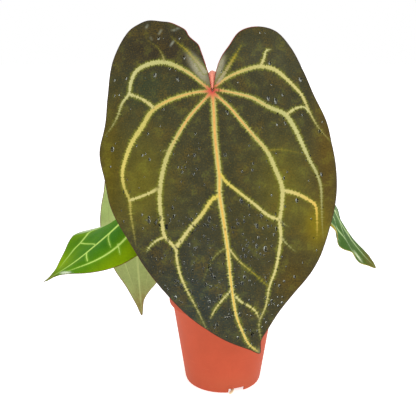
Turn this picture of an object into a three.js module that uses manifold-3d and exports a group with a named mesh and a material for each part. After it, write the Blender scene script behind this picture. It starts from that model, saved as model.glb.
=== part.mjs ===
// A velvet-leaved anthurium hybrid in a terracotta-coloured nursery pot.
// Millimetres, +Z up. Every piece is placed from the middle of the pot's underside, and the plant faces -Y.
// The finished group is then moved until its origin is below the middle of the whole plant.
import * as THREE from 'three';
import { mergeVertices } from 'three/addons/utils/BufferGeometryUtils.js';
import Module from 'manifold-3d';

const wasm = await Module();
wasm.setup();

// Pot
const POT_HEIGHT = 92;
const POT_FOOT_RADIUS = 36.8;
const POT_SHOULDER_RADIUS = 48.8;
const POT_RIM_RADIUS = 52;
const POT_RIM_HEIGHT = 11;
const POT_WALL = 1.3;
const POT_FOOT_ROUND = 2.6;
const POT_FLOOR_HEIGHT = 5;
const POT_EDGE = 0.5;
const POT_LIP = 1.6;
const POT_FILLET = 2;
const POT_SIDES = 48;
const NOTCH_COUNT = 3;
const NOTCH_WIDTH = 16;
const NOTCH_HEIGHT = 4.6;
const NOTCH_REACH = [32.8, 46.8];
const NOTCH_TURN = -70;
const SLOT_WIDTH = 11.2;
const SLOT_REACH = [25.4, 33.4];
const SLOT_HEIGHT = 10;
const DRAIN_RADIUS = 3.6;
const DRAIN_CIRCLE = 17;
const DRAIN_COUNT = 4;
const DRAIN_SIDES = 12;

// Potting mix
const MIX_LEVEL = 78;
const MIX_GAP = 0.3;
const MIX_SPOKES = 36;
const MIX_RINGS = 9;
const MIX_EDGE_DROP = 3;
const MIX_FOOT_ROUND = 3;
const CHIP_COUNT = 70;
const CHIP_RISE = 3.2;
const CHIP_TILT = 0.5;

// Clearance between touching pieces
const GAP = 0.3;

// Stem
const STEM_X = 0;
const STEM_Y = 10;
const STEM_FOOT = 34;
const STEM_TOP = 95;
const STEM_RADIUS = 8;
const STEM_CROWN_RADIUS = 11.5;
const STEM_SIDES = 14;
const SCAR_COUNT = 5;
const SCAR_RISE = 0.7;

// Leaf blades
const BLADE_THICKNESS = 1;
const OUTLINE_STEP = 7;
const VEIN_STEP = 8;
const NET_STEP = 7;
const FILL_STEP = 8.6;
const FILL_JITTER = 0.8;
const FILL_ROOM = 5.3;
const RIB_HALF_WIDTH = 2.3;
const RIB_DEPTH = 1.4;
const RIB_RISE = 0.35;
const RIB_ROOM = 2;
const RIB_TIP_WIDTH = 0.55;
const RIB_TIP_DEPTH = 0.35;
const NET_DEPTH = 0.7;
const NET_RISE = 0.25;
const NET_ROOM = 2.4;
const QUILT_REACH = 11;
const WAVE_REACH = 16;
const WAVE_CENTRE = 0.35;

// Each leaf is drawn flat, in millimetres across and along from the point where its petiole joins,
// and is then bent and curled in space. curl is in degrees over the half width, at the base and the tip.
const MAIN_LEAF = {
  junction: [-10.7, -6.7, 284],
  heading: [0, -0.415, -0.91],
  face: [0, -0.91, 0.415],
  length: 236,
  halfWidth: 105,
  bend: 16,
  twist: 0,
  curl: { right: [14, 10], left: [14, 10] },
  quilt: 1.6,
  wave: { height: 1.8, count: 9, start: 0.6 },
  outline: [
    [0, 1], [1, -6], [3, -18], [8, -31], [14, -40], [24, -54], [39, -59], [57, -56], [71, -42],
    [82, -21], [92, 5], [104, 30], [110, 55], [111, 81], [108, 110], [100, 139], [88, 160],
    [72, 180], [59, 197], [50, 211], [43, 223], [42, 234], [32, 230], [7, 219], [-24, 198],
    [-59, 157], [-75, 133], [-89, 106], [-96, 82], [-101, 57], [-96, 29], [-95, 3], [-91, -28],
    [-76, -56], [-58, -66], [-38, -64], [-23, -56], [-12, -42], [-7, -27], [-3, -14],
  ],
  ribs: [
    [[0, 5], [4, 60], [6, 92], [12, 132], [18, 184], [26, 213], [40, 231]],
    [[-2, 4], [-20, 24], [-38, 55], [-46, 88], [-44, 119], [-32, 141], [-28, 164], [-15, 191], [-5, 212]],
    [[-4, 2], [-29, 6], [-54, 19], [-71, 46], [-80, 74], [-73, 98], [-70, 123], [-67, 144]],
    [[-6, -4], [-20, -15], [-43, -26], [-68, -19], [-75, 2], [-85, 22], [-96, 40]],
    [[-4, -12], [-12, -24], [-29, -41], [-42, -55], [-47, -65]],
    [[2, 5], [26, 29], [48, 55], [61, 86], [59, 117], [58, 145], [47, 191], [43, 222]],
    [[4, 2], [35, 7], [64, 21], [79, 46], [96, 84], [98, 120], [100, 138]],
    [[5, -5], [28, -18], [55, -20], [76, -2], [87, 19], [108, 45]],
    [[4, -12], [12, -22], [31, -39], [41, -59]],
  ],
  net: [
    [[-73, 98], [-64, 95], [-47, 87]],
    [[-42, 130], [-56, 140], [-58, 146]],
    [[6, 94], [-9, 110], [-32, 139]],
    [[-75, 2], [-65, 6], [-52, 16]],
    [[43, -23], [54, -39]],
    [[65, 22], [75, 15], [87, 19]],
    [[61, 89], [74, 92], [91, 102], [93, 133]],
    [[60, 129], [67, 138], [79, 150]],
    [[6, 74], [23, 91], [50, 112], [59, 114]],
    [[15, 141], [36, 162], [49, 174]],
    [[19, 181], [30, 191], [41, 201]],
    [[16, 177], [8, 186], [-2, 202]],
    [[13, 138], [2, 147], [-9, 171]],
  ],
};

const LEFT_LEAF = {
  junction: [-56.2, 41.7, 193.3],
  heading: [-0.62, -0.372, -0.69],
  face: [-0.66, -0.229, 0.716],
  length: 155,
  halfWidth: 55,
  bend: -19,
  twist: -7,
  curl: { right: [50, 35], left: [90, -70] },
  quilt: 1.3,
  wave: { height: 0.8, count: 5, start: 1.1 },
  outline: [
    [0, 1], [4, -16], [15, -31], [30, -34], [44, -22], [52, 4], [55, 42], [54, 79], [48, 101],
    [35, 121], [21, 133], [9, 142], [4, 149], [-1, 156], [-5, 148], [-12, 140], [-24, 130],
    [-35, 120], [-47, 110], [-57, 100], [-61, 88], [-60, 55], [-55, 24], [-46, -8], [-33, -27],
    [-17, -30], [-5, -17],
  ],
  ribs: [[[0, 4], [0, 50], [1, 95], [3, 125], [-1, 152]]],
  net: [
    [[2, 4], [16, 24], [25, 55], [30, 86], [27, 106], [18, 125], [8, 139]],
    [[-2, 4], [-18, 22], [-36, 50], [-49, 84], [-33, 103], [-22, 120], [-9, 137]],
    [[4, 1], [22, 2], [38, 16], [47, 42], [50, 66]],
    [[-4, 1], [-20, 2], [-38, 14], [-48, 38], [-54, 62]],
    [[0, 77], [6, 82], [26, 91]],
    [[2, 112], [10, 113], [20, 119]],
    [[-33, 103], [-19, 99], [0, 95]],
    [[30, 86], [42, 91]],
  ],
};

const RIGHT_LEAF = {
  junction: [90, 19.2, 213.4],
  heading: [0.23, 0.29, -1],
  face: [1, -0.2, 0.24],
  length: 142,
  halfWidth: 44,
  bend: -32,
  twist: 11,
  curl: { right: [5, 20], left: [0, 20] },
  quilt: 1.2,
  wave: { height: 2.4, count: 8, start: 0.66 },
  outline: [
    [0, 1], [4, -14], [13, -27], [26, -29], [37, -18], [43, 6], [45, 36], [41, 66], [33, 94],
    [24, 116], [14, 130], [0, 142], [-13, 124], [-23, 109], [-30, 95], [-38, 80], [-43, 62],
    [-44, 36], [-43, 6], [-37, -18], [-26, -29], [-13, -27], [-4, -14],
  ],
  ribs: [[[0, 4], [0, 60], [0, 110], [0, 139]]],
  net: [
    [[2, 4], [14, 22], [23, 52], [22, 84], [10, 118]],
    [[-2, 4], [-14, 22], [-23, 52], [-22, 84], [-10, 118]],
    [[4, 1], [20, 2], [34, 18], [38, 44], [34, 72]],
    [[-4, 1], [-20, 2], [-34, 18], [-38, 44], [-34, 72]],
    [[0, 60], [11, 66], [23, 78]],
    [[0, 72], [-11, 78], [-22, 88]],
  ],
};

const BACK_LEAF = {
  junction: [-99.8, 110, 202.7],
  heading: [0.06, -0.2, -1],
  face: [-0.45, 0.85, -0.1],
  length: 174,
  halfWidth: 42,
  bend: 11,
  twist: 0,
  curl: { right: [20, 10], left: [20, 10] },
  quilt: 1.2,
  wave: { height: 1, count: 5, start: 2 },
  outline: [
    [0, 1], [4, -16], [10, -28], [16, -31], [22, -20], [25, 4], [28, 22], [31, 37], [37, 54],
    [39, 74], [36, 98], [29, 121], [17, 142], [8, 162], [3, 175], [-2, 159], [-10, 150], [-18, 143], [-31, 121],
    [-38, 96], [-40, 64], [-38, 32], [-35, 2], [-30, -24], [-21, -34], [-11, -30], [-4, -16],
  ],
  ribs: [[[0, 4], [0, 60], [1, 120], [3, 171]]],
  net: [
    [[2, 4], [13, 26], [20, 62], [18, 104], [8, 146]],
    [[-2, 4], [-13, 26], [-20, 62], [-18, 104], [-6, 142]],
    [[4, 1], [14, 4], [20, 22], [28, 54], [29, 88]],
    [[-4, 1], [-18, 2], [-28, 20], [-32, 52], [-29, 88]],
    [[0, 70], [10, 78], [20, 92]],
    [[0, 82], [-10, 90], [-20, 104]],
  ],
};

// Petioles run from a socket in the stem to their leaf's junction.
const MAIN_PETIOLE = {
  radius: [3.6, 3.2, 3.5],
  path: [
    [1.5, 7.5, 86], [1, 11, 104], [-2, 19, 140], [-6, 24, 200], [-8.4, 22.4, 258], [-9.2, 18.2, 281],
    [-10, 15.4, 290.2], [-10.6, 10.4, 295.7], [-10.7, 4.8, 294.3], [-10.7, 1.1, 288.3], [-10.7, -2.5, 282.9],
  ],
};
const LEFT_PETIOLE = {
  radius: [2.6, 2.1, 2.4],
  path: [
    [-5.3, 7, 86], [-9, 12, 104], [-22, 30, 140], [-37, 43, 170], [-46, 44.6, 184], [-52.6, 43, 190.4],
    [-55.8, 41.8, 193],
  ],
};
const RIGHT_PETIOLE = {
  radius: [2.6, 2.1, 2.4],
  path: [
    [6.3, 12.6, 86], [12, 14.5, 104], [38, 18, 146], [66, 21, 190], [77, 21.5, 208], [84, 20.6, 214.4],
    [89.5, 19.3, 213.8],
  ],
};
const BACK_PETIOLE = {
  radius: [2.6, 2.1, 2.4],
  path: [
    [-2.2, 15, 86], [-8, 30, 100], [-34, 70, 128], [-64, 96, 166], [-82, 99, 194], [-92, 102, 205],
    [-97, 106, 206], [-99.5, 109.6, 202.9],
  ],
};
const PETIOLE_SIDES = 10;
const PETIOLE_STEPS = 26;
const STALK_TIP_LENGTH = 3;
const STALK_TIP_SHARE = 0.46;

// Papery sheaths left round the crown: where each stands round the stem, its height and its lean.
const CATAPHYLLS = [
  { turn: 250, height: 34, lean: 10 },
  { turn: 338, height: 26, lean: 16 },
];
const CATAPHYLL_FOOT = 88.5;
const CATAPHYLL_SPAN = 56;
const CATAPHYLL_POINT = 80;
const CATAPHYLL_CLEAR = 1.4;
const CATAPHYLL_THICKNESS = 0.9;
const CATAPHYLL_STEPS = 6;

// Aerial roots that leave the stem and dive into the mix, and the root that has found the foot notch.
const ROOT_RADIUS = [1.9, 1.9, 1.3];
const AERIAL_ROOTS = [
  [[-6, 8, 87], [-14, 4, 86], [-22, -4, 80], [-25, -9, 70], [-26, -11, 58]],
  [[4, 4, 86], [9, -3, 85.5], [14, -14, 81], [16, -20, 70], [16.5, -22, 58]],
  [[5, 15, 86], [13, 22, 86], [19, 30, 80], [21, 33, 70], [21.5, 34, 58]],
];
const ROOT_TIP = {
  radius: [1.7, 1.6, 1.2],
  path: [
    [8.5, -24, 18], [9.2, -27, 9], [9.3, -30, 4.4], [8.6, -33.5, 2.2], [8, -36.6, 1.9], [5.8, -40.6, 1.8],
  ],
};
const ROOT_SIDES = 8;
const ROOT_STEPS = 12;

const COLOURS = {
  pot: [0xd6603f, 0.5],
  potting_mix: [0x5a4331, 0.95],
  stem: [0x7c7f4c, 0.7],
  petiole_main: [0xc98463, 0.4],
  petiole_left: [0x7f9a4c, 0.4],
  petiole_right: [0x8b9a5a, 0.4],
  petiole_back: [0x8b9a5a, 0.4],
  cataphyll: [0x9a7a4e, 0.8],
  blade_main: [0x4c4a30, 0.5],
  blade_left: [0x4c8a2c, 0.3],
  blade_right: [0x5d8050, 0.3],
  blade_back: [0x97a55f, 0.6],
  root_tip: [0xd9b48c, 0.6],
};

const radians = THREE.MathUtils.degToRad;
const lerp = THREE.MathUtils.lerp;
const vector = (point) => new THREE.Vector3(...point);
const profilePoints = (profile) => profile.map(([radius, height]) => new THREE.Vector2(radius, height));

// A repeatable stream of numbers between 0 and 1.
function seeded(seed) {
  let state = seed;
  return () => {
    state = (state * 16807) % 2147483647;
    return state / 2147483647;
  };
}

// Closed geometry to a solid, and back.
function toSolid(geometry) {
  const bare = geometry.clone();
  bare.deleteAttribute('normal');
  bare.deleteAttribute('uv');
  const merged = mergeVertices(bare, 1e-4);
  return new wasm.Manifold(new wasm.Mesh({
    numProp: 3,
    vertProperties: new Float32Array(merged.attributes.position.array),
    triVerts: new Uint32Array(merged.index.array),
  }));
}

function toGeometry(solid) {
  const bodies = solid.decompose();
  const largest = bodies.reduce((best, body) => (body.volume() > best.volume() ? body : best));
  const mesh = largest.getMesh();
  const geometry = new THREE.BufferGeometry();
  geometry.setAttribute('position', new THREE.BufferAttribute(mesh.vertProperties, 3));
  geometry.setIndex(new THREE.BufferAttribute(mesh.triVerts, 1));
  return geometry;
}

function facesGeometry(points, triangles) {
  const geometry = new THREE.BufferGeometry();
  const numbers = points.flatMap((point) => point.toArray());
  geometry.setAttribute('position', new THREE.Float32BufferAttribute(numbers, 3));
  geometry.setIndex(triangles.flat());
  return geometry;
}

// A round stalk along a path, its radius going from foot to middle to head, with a blunt cone at the head.
function stalk({ path, radius }, grow, sides, steps) {
  const curve = new THREE.CatmullRomCurve3(path.map(vector), false, 'centripetal');
  const frames = curve.computeFrenetFrames(steps, false);
  const tipStart = 1 - STALK_TIP_LENGTH / curve.getLength();
  const points = [];
  const triangles = [];
  for (let i = 0; i <= steps; i += 1) {
    const t = i === steps - 1 ? tipStart : i / steps;
    const body = t < 0.5 ? lerp(radius[0], radius[1], t * 2) : lerp(radius[1], radius[2], t * 2 - 1);
    const size = grow + (i === steps ? radius[2] * STALK_TIP_SHARE : body);
    const centre = curve.getPointAt(t);
    for (let j = 0; j < sides; j += 1) {
      const angle = (2 * Math.PI * j) / sides;
      const spoke = frames.normals[i].clone().multiplyScalar(Math.cos(angle) * size)
        .addScaledVector(frames.binormals[i], Math.sin(angle) * size);
      points.push(centre.clone().add(spoke));
    }
  }
  for (let i = 0; i < steps; i += 1) {
    for (let j = 0; j < sides; j += 1) {
      const a = i * sides + j;
      const b = i * sides + ((j + 1) % sides);
      triangles.push([a, b, a + sides], [b, b + sides, a + sides]);
    }
  }
  const last = steps * sides;
  for (let j = 1; j < sides - 1; j += 1) {
    triangles.push([0, j + 1, j], [last, last + j, last + j + 1]);
  }
  return toSolid(facesGeometry(points, triangles));
}

// Delaunay triangles of flat points: each point replaces the triangles whose circle holds it.
function delaunay(points) {
  const far = 4000;
  const all = [...points, { x: -far, y: -far }, { x: far, y: -far }, { x: 0, y: far }];
  const triangle = (a, b, c) => {
    const [p, q, r] = [all[a], all[b], all[c]];
    const bx = q.x - p.x;
    const by = q.y - p.y;
    const cx = r.x - p.x;
    const cy = r.y - p.y;
    const twice = 2 * (bx * cy - by * cx);
    const ux = (cy * (bx * bx + by * by) - by * (cx * cx + cy * cy)) / twice;
    const uy = (bx * (cx * cx + cy * cy) - cx * (bx * bx + by * by)) / twice;
    return { corners: [a, b, c], x: p.x + ux, y: p.y + uy, reach: ux * ux + uy * uy };
  };
  let found = [triangle(points.length, points.length + 1, points.length + 2)];
  points.forEach((point, index) => {
    const hole = new Map();
    found = found.filter((t) => {
      if ((point.x - t.x) ** 2 + (point.y - t.y) ** 2 >= t.reach) return true;
      const [a, b, c] = t.corners;
      [[a, b], [b, c], [c, a]].forEach(([start, end]) => {
        if (!hole.delete(`${end} ${start}`)) hole.set(`${start} ${end}`, [start, end]);
      });
      return false;
    });
    hole.forEach(([start, end]) => found.push(triangle(start, end, index)));
  });
  return found.map((t) => t.corners).filter((corners) => corners.every((c) => c < points.length));
}

function insideOutline(x, y, outline) {
  let inside = false;
  outline.forEach((a, i) => {
    const b = outline[(i + 1) % outline.length];
    if (a.y > y !== b.y > y && x < a.x + ((y - a.y) * (b.x - a.x)) / (b.y - a.y)) inside = !inside;
  });
  return inside;
}

// Points at an even step along a smooth line through flat points.
function along(points, step, closed = false) {
  const flat = points.map(([x, y]) => new THREE.Vector3(x, y, 0));
  const curve = new THREE.CatmullRomCurve3(flat, closed, 'centripetal');
  const count = Math.max(2, Math.round(curve.getLength() / step));
  const spaced = curve.getSpacedPoints(count);
  return closed ? spaced.slice(0, -1) : spaced;
}

const nearest = (x, y, points) => Math.min(...points.map((p) => Math.hypot(p.x - x, p.y - y)));

// A leaf's own directions: across it, along it to the tip, and out of its upper face.
function leafFrame(leaf) {
  const heading = vector(leaf.heading).normalize();
  const face = vector(leaf.face).addScaledVector(heading, -vector(leaf.face).dot(heading)).normalize();
  const across = new THREE.Vector3().crossVectors(face, heading);
  return { across, heading, face, junction: vector(leaf.junction) };
}

// Where a flat leaf point goes in space, lifted off the middle of the blade towards its upper face.
function leafPoint(leaf, frame, x, y, lift) {
  const portion = THREE.MathUtils.clamp(y / leaf.length, 0, 1);
  const [base, tip] = x < 0 ? leaf.curl.left : leaf.curl.right;
  const curl = (radians(lerp(base, tip, portion)) || 1e-6) / leaf.halfWidth;
  const roll = curl * Math.abs(x);
  const side = Math.sign(x);
  const sideways = side * (Math.sin(roll) / curl + lift * Math.sin(roll));
  const upwards = (Math.cos(roll) - 1) / curl + lift * Math.cos(roll);
  const twist = radians(leaf.twist) * portion;
  const width = sideways * Math.cos(twist) + upwards * Math.sin(twist);
  const height = upwards * Math.cos(twist) - sideways * Math.sin(twist);
  const bend = radians(leaf.bend) / leaf.length;
  const turn = bend * y;
  return frame.junction.clone()
    .addScaledVector(frame.across, width)
    .addScaledVector(frame.heading, Math.sin(turn) / bend + height * Math.sin(turn))
    .addScaledVector(frame.face, (Math.cos(turn) - 1) / bend + height * Math.cos(turn));
}

// The flat points of a blade: its outline, its ribs with an edge on each side, its net, and a fill.
function bladePoints(leaf) {
  const points = along(leaf.outline, OUTLINE_STEP, true).map(({ x, y }) => ({ x, y, under: 0, over: 0 }));
  const outline = [...points];
  const veins = [];
  const place = (x, y, under, over, room) => {
    if (nearest(x, y, points) < room || !insideOutline(x, y, outline)) return;
    const point = { x, y, under, over };
    points.push(point);
    if (under) veins.push(point);
  };
  leaf.ribs.forEach((rib) => {
    const line = along(rib, VEIN_STEP);
    line.forEach(({ x, y }, i) => {
      place(x, y, RIB_DEPTH * lerp(1, RIB_TIP_DEPTH, i / line.length), RIB_RISE, RIB_ROOM);
    });
    line.slice(0, -1).forEach(({ x, y }, i) => {
      const next = line[i + 1];
      const width = RIB_HALF_WIDTH * lerp(1, RIB_TIP_WIDTH, i / line.length);
      const reach = width / Math.hypot(next.x - x, next.y - y);
      const out = [(next.y - y) * reach, (x - next.x) * reach];
      place(x + out[0], y + out[1], 0, 0, RIB_HALF_WIDTH / 2);
      place(x - out[0], y - out[1], 0, 0, RIB_HALF_WIDTH / 2);
    });
  });
  leaf.net.forEach((line) => {
    along(line, NET_STEP).forEach(({ x, y }) => place(x, y, NET_DEPTH, NET_RISE, NET_ROOM));
  });
  const random = seeded(31);
  const rowHeight = FILL_STEP * Math.sqrt(0.75);
  const lowest = Math.min(...outline.map((point) => point.y));
  const widest = Math.max(...outline.map((point) => Math.abs(point.x)));
  const columns = Math.ceil(widest / FILL_STEP);
  for (let row = Math.floor(lowest / rowHeight); row * rowHeight < leaf.length; row += 1) {
    for (let column = -columns; column <= columns; column += 1) {
      const x = (column + (row % 2 ? 0.5 : 0)) * FILL_STEP + random() * FILL_JITTER;
      place(x, row * rowHeight + random() * FILL_JITTER, 0, 0, FILL_ROOM);
    }
  }
  return { points, outline, veins };
}

// A closed blade: upper and lower faces share one set of triangles and are joined round the margin.
function blade(leaf, grow = 0) {
  const frame = leafFrame(leaf);
  const { points, outline, veins } = bladePoints(leaf);
  const triangles = delaunay(points).filter((corners) => {
    const x = corners.reduce((sum, c) => sum + points[c].x, 0) / 3;
    const y = corners.reduce((sum, c) => sum + points[c].y, 0) / 3;
    return insideOutline(x, y, outline);
  });
  const middleHeight = ({ x, y }) => {
    const quilt = leaf.quilt * (1 - Math.exp(-nearest(x, y, veins) / QUILT_REACH));
    const round = Math.atan2(x, y - leaf.length * WAVE_CENTRE);
    const ripple = Math.sin(leaf.wave.count * round + leaf.wave.start);
    return quilt + leaf.wave.height * ripple * Math.exp(-nearest(x, y, outline) / WAVE_REACH);
  };
  const heights = points.map(middleHeight);
  const half = BLADE_THICKNESS / 2 + grow;
  const upper = points.map((p, i) => leafPoint(leaf, frame, p.x, p.y, heights[i] + half + p.over));
  const lower = points.map((p, i) => leafPoint(leaf, frame, p.x, p.y, heights[i] - half - p.under));
  const count = points.length;
  const faces = triangles.flatMap(([a, b, c]) => [[a, c, b], [a + count, b + count, c + count]]);
  outline.forEach((_, i) => {
    const j = (i + 1) % outline.length;
    faces.push([i, j, i + count], [j, j + count, i + count]);
  });
  return toSolid(facesGeometry([...upper, ...lower], faces));
}

// The pot's tapered wall: its outer and inner radius at a height.
const potOuter = (z) => lerp(POT_FOOT_RADIUS, POT_SHOULDER_RADIUS, z / (POT_HEIGHT - POT_RIM_HEIGHT));
const potInner = (z) => potOuter(z) - POT_WALL;

// A box along a spoke of the pot, between two distances from the axis, up to a height.
function spokeBox([start, end], width, height, turn) {
  const box = new THREE.BoxGeometry(end - start, width, height * 2);
  return toSolid(box.translate((start + end) / 2, 0, 0).rotateZ(turn));
}

// The pot: one turned wall with a rim band and a floor raised on a foot ring, with notches and drain holes.
function pot() {
  const shoulder = POT_HEIGHT - POT_RIM_HEIGHT;
  const floorTop = POT_FLOOR_HEIGHT + POT_WALL;
  const profile = [
    [0, floorTop],
    [0, POT_FLOOR_HEIGHT],
    [potInner(POT_FLOOR_HEIGHT), POT_FLOOR_HEIGHT],
    [potInner(0) - 2 * POT_EDGE, 0],
    [POT_FOOT_RADIUS - 2 * POT_EDGE, 0],
    [POT_FOOT_RADIUS, POT_FOOT_ROUND / 2],
    [potOuter(POT_FOOT_ROUND), POT_FOOT_ROUND],
    [POT_SHOULDER_RADIUS, shoulder],
    [POT_RIM_RADIUS - POT_EDGE, shoulder + POT_EDGE],
    [POT_RIM_RADIUS, shoulder + 2 * POT_EDGE],
    [POT_RIM_RADIUS, POT_HEIGHT - 2 * POT_EDGE],
    [POT_RIM_RADIUS - POT_EDGE, POT_HEIGHT],
    [POT_RIM_RADIUS - POT_LIP, POT_HEIGHT - POT_EDGE],
    [potInner(shoulder + POT_FILLET) + POT_EDGE, shoulder + POT_FILLET],
    [potInner(floorTop + POT_FILLET), floorTop + POT_FILLET],
    [potInner(floorTop) - POT_FILLET, floorTop],
    [0, floorTop],
  ];
  let body = toSolid(new THREE.LatheGeometry(profilePoints(profile), POT_SIDES).rotateX(Math.PI / 2));
  for (let i = 0; i < NOTCH_COUNT; i += 1) {
    const turn = radians(NOTCH_TURN + (360 / NOTCH_COUNT) * i);
    body = body.subtract(spokeBox(NOTCH_REACH, NOTCH_WIDTH, NOTCH_HEIGHT, turn));
    body = body.subtract(spokeBox(SLOT_REACH, SLOT_WIDTH, SLOT_HEIGHT, turn));
  }
  for (let i = 0; i < DRAIN_COUNT; i += 1) {
    const turn = radians((360 / DRAIN_COUNT) * i);
    const drain = new THREE.CylinderGeometry(DRAIN_RADIUS, DRAIN_RADIUS, floorTop * 2, DRAIN_SIDES)
      .rotateX(Math.PI / 2)
      .translate(DRAIN_CIRCLE * Math.cos(turn), DRAIN_CIRCLE * Math.sin(turn), POT_FLOOR_HEIGHT);
    body = body.subtract(toSolid(drain));
  }
  return body;
}

// The height of the mix's top: a field of tilted bark chips, each holding the ground nearest to it.
function mixSurface() {
  const random = seeded(7);
  const chips = Array.from({ length: CHIP_COUNT }, () => {
    const angle = random() * 2 * Math.PI;
    const distance = Math.sqrt(random()) * POT_SHOULDER_RADIUS;
    return {
      x: distance * Math.cos(angle),
      y: distance * Math.sin(angle),
      rise: (random() - 0.4) * CHIP_RISE,
      tiltX: (random() - 0.5) * CHIP_TILT,
      tiltY: (random() - 0.5) * CHIP_TILT,
    };
  });
  return (x, y) => {
    const reach = (chip) => Math.hypot(chip.x - x, chip.y - y);
    const chip = chips.reduce((best, other) => (reach(other) < reach(best) ? other : best));
    return MIX_LEVEL + chip.rise + chip.tiltX * (x - chip.x) + chip.tiltY * (y - chip.y);
  };
}

// The mix: one plug that fills the pot.
function pottingMix() {
  const surface = mixSurface();
  const wall = (z) => (potInner(z) - MIX_GAP) * Math.cos(Math.PI / POT_SIDES);
  const bottom = POT_FLOOR_HEIGHT + POT_WALL + MIX_GAP;
  const points = [new THREE.Vector3(0, 0, surface(0, 0))];
  const triangles = [];
  const ring = (radius, heightAt) => {
    for (let j = 0; j < MIX_SPOKES; j += 1) {
      const angle = (2 * Math.PI * j) / MIX_SPOKES;
      const x = radius * Math.cos(angle);
      const y = radius * Math.sin(angle);
      points.push(new THREE.Vector3(x, y, heightAt(x, y)));
    }
  };
  for (let i = 1; i <= MIX_RINGS; i += 1) ring((wall(MIX_LEVEL - MIX_EDGE_DROP) * i) / MIX_RINGS, surface);
  ring(wall(bottom + MIX_FOOT_ROUND), () => bottom + MIX_FOOT_ROUND);
  ring(wall(bottom) - MIX_FOOT_ROUND, () => bottom);
  points.push(new THREE.Vector3(0, 0, bottom));
  const at = (i, j) => 1 + i * MIX_SPOKES + (j % MIX_SPOKES);
  const rows = MIX_RINGS + 2;
  for (let j = 0; j < MIX_SPOKES; j += 1) {
    triangles.push([0, at(0, j), at(0, j + 1)], [points.length - 1, at(rows - 1, j + 1), at(rows - 1, j)]);
    for (let i = 0; i < rows - 1; i += 1) {
      triangles.push([at(i, j), at(i + 1, j), at(i, j + 1)], [at(i, j + 1), at(i + 1, j), at(i + 1, j + 1)]);
    }
  }
  return toSolid(facesGeometry(points, triangles));
}

// The stem: a stout trunk ringed with leaf scars, widening at the crown, with its aerial roots.
function stemBody(grow) {
  const profile = [[0, STEM_FOOT], [STEM_RADIUS * 0.7 + grow, STEM_FOOT]];
  const rings = SCAR_COUNT * 2;
  const top = STEM_TOP - 3;
  for (let i = 1; i <= rings; i += 1) {
    const flare = lerp(STEM_RADIUS, STEM_CROWN_RADIUS, (i / rings) ** 2);
    profile.push([flare + (i % 2 ? SCAR_RISE : 0) + grow, lerp(STEM_FOOT, top, i / rings)]);
  }
  profile.push([STEM_CROWN_RADIUS * 0.6 + grow, STEM_TOP], [0, STEM_TOP]);
  const trunk = new THREE.LatheGeometry(profilePoints(profile), STEM_SIDES)
    .rotateX(Math.PI / 2)
    .translate(STEM_X, STEM_Y, 0);
  const root = (path) => stalk({ path, radius: ROOT_RADIUS }, grow, ROOT_SIDES, ROOT_STEPS);
  return AERIAL_ROOTS.reduce((body, path) => body.add(root(path)), toSolid(trunk));
}

// A papery sheath: a curved, pointed scale standing against the crown.
function cataphyll({ turn, height, lean }) {
  const steps = CATAPHYLL_STEPS;
  const points = [];
  const triangles = [];
  [0, CATAPHYLL_THICKNESS].forEach((outward) => {
    for (let i = 0; i <= steps; i += 1) {
      const t = i / steps;
      const span = radians(CATAPHYLL_SPAN) * Math.cos(t * radians(CATAPHYLL_POINT));
      const spread = Math.tan(radians(lean)) * height * t * t;
      const distance = STEM_CROWN_RADIUS + CATAPHYLL_CLEAR + outward + spread;
      for (let j = 0; j <= steps; j += 1) {
        const angle = radians(turn) + span * (j / steps - 0.5);
        points.push(new THREE.Vector3(
          STEM_X + distance * Math.cos(angle),
          STEM_Y + distance * Math.sin(angle),
          CATAPHYLL_FOOT + height * t,
        ));
      }
    }
  });
  const layer = (steps + 1) ** 2;
  const at = (i, j) => i * (steps + 1) + j;
  for (let i = 0; i < steps; i += 1) {
    for (let j = 0; j < steps; j += 1) {
      const [a, b, c, d] = [at(i, j), at(i, j + 1), at(i + 1, j), at(i + 1, j + 1)];
      const inner = [[a, c, b], [b, c, d]];
      const outer = inner.map((corners) => corners.map((corner) => corner + layer).reverse());
      triangles.push(...inner, ...outer);
    }
    const edges = [
      [at(i + 1, 0), at(i, 0)],
      [at(i, steps), at(i + 1, steps)],
      [at(0, i), at(0, i + 1)],
      [at(steps, i + 1), at(steps, i)],
    ];
    edges.forEach(([p, q]) => triangles.push([p, q, p + layer], [q, q + layer, p + layer]));
  }
  return toSolid(facesGeometry(points, triangles));
}

const PLANT = new THREE.Group();

function add(name, solid, colour = name) {
  const [color, roughness] = COLOURS[colour];
  const material = new THREE.MeshStandardMaterial({ color, roughness, metalness: 0 });
  const mesh = new THREE.Mesh(toGeometry(solid), material);
  mesh.name = name;
  PLANT.add(mesh);
}

const LEAVES = {
  main: [MAIN_LEAF, MAIN_PETIOLE],
  left: [LEFT_LEAF, LEFT_PETIOLE],
  right: [RIGHT_LEAF, RIGHT_PETIOLE],
  back: [BACK_LEAF, BACK_PETIOLE],
};

let stem = stemBody(0);
Object.entries(LEAVES).forEach(([name, [leaf, petiole]]) => {
  add(`blade_${name}`, blade(leaf));
  add(`petiole_${name}`, stalk(petiole, 0, PETIOLE_SIDES, PETIOLE_STEPS).subtract(blade(leaf, GAP)));
  stem = stem.subtract(stalk(petiole, GAP, PETIOLE_SIDES, PETIOLE_STEPS));
});
add('stem', stem);
CATAPHYLLS.forEach((sheath, i) => add(`cataphyll_${i + 1}`, cataphyll(sheath), 'cataphyll'));
const rootHole = stalk(ROOT_TIP, GAP, ROOT_SIDES, ROOT_STEPS);
add('potting_mix', pottingMix().subtract(stemBody(GAP)).subtract(rootHole));
add('pot', pot());
add('root_tip', stalk(ROOT_TIP, 0, ROOT_SIDES, ROOT_STEPS));

const middle = new THREE.Box3().setFromObject(PLANT).getCenter(new THREE.Vector3());
PLANT.position.set(-middle.x, -middle.y, 0);

export default PLANT;
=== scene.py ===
"""A potted anthurium hybrid: velvet heart-shaped blades with pale veins, over a terracotta pot."""

from __future__ import annotations

import logging
import math
from dataclasses import dataclass
from enum import Enum
from typing import Any, Sequence

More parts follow.
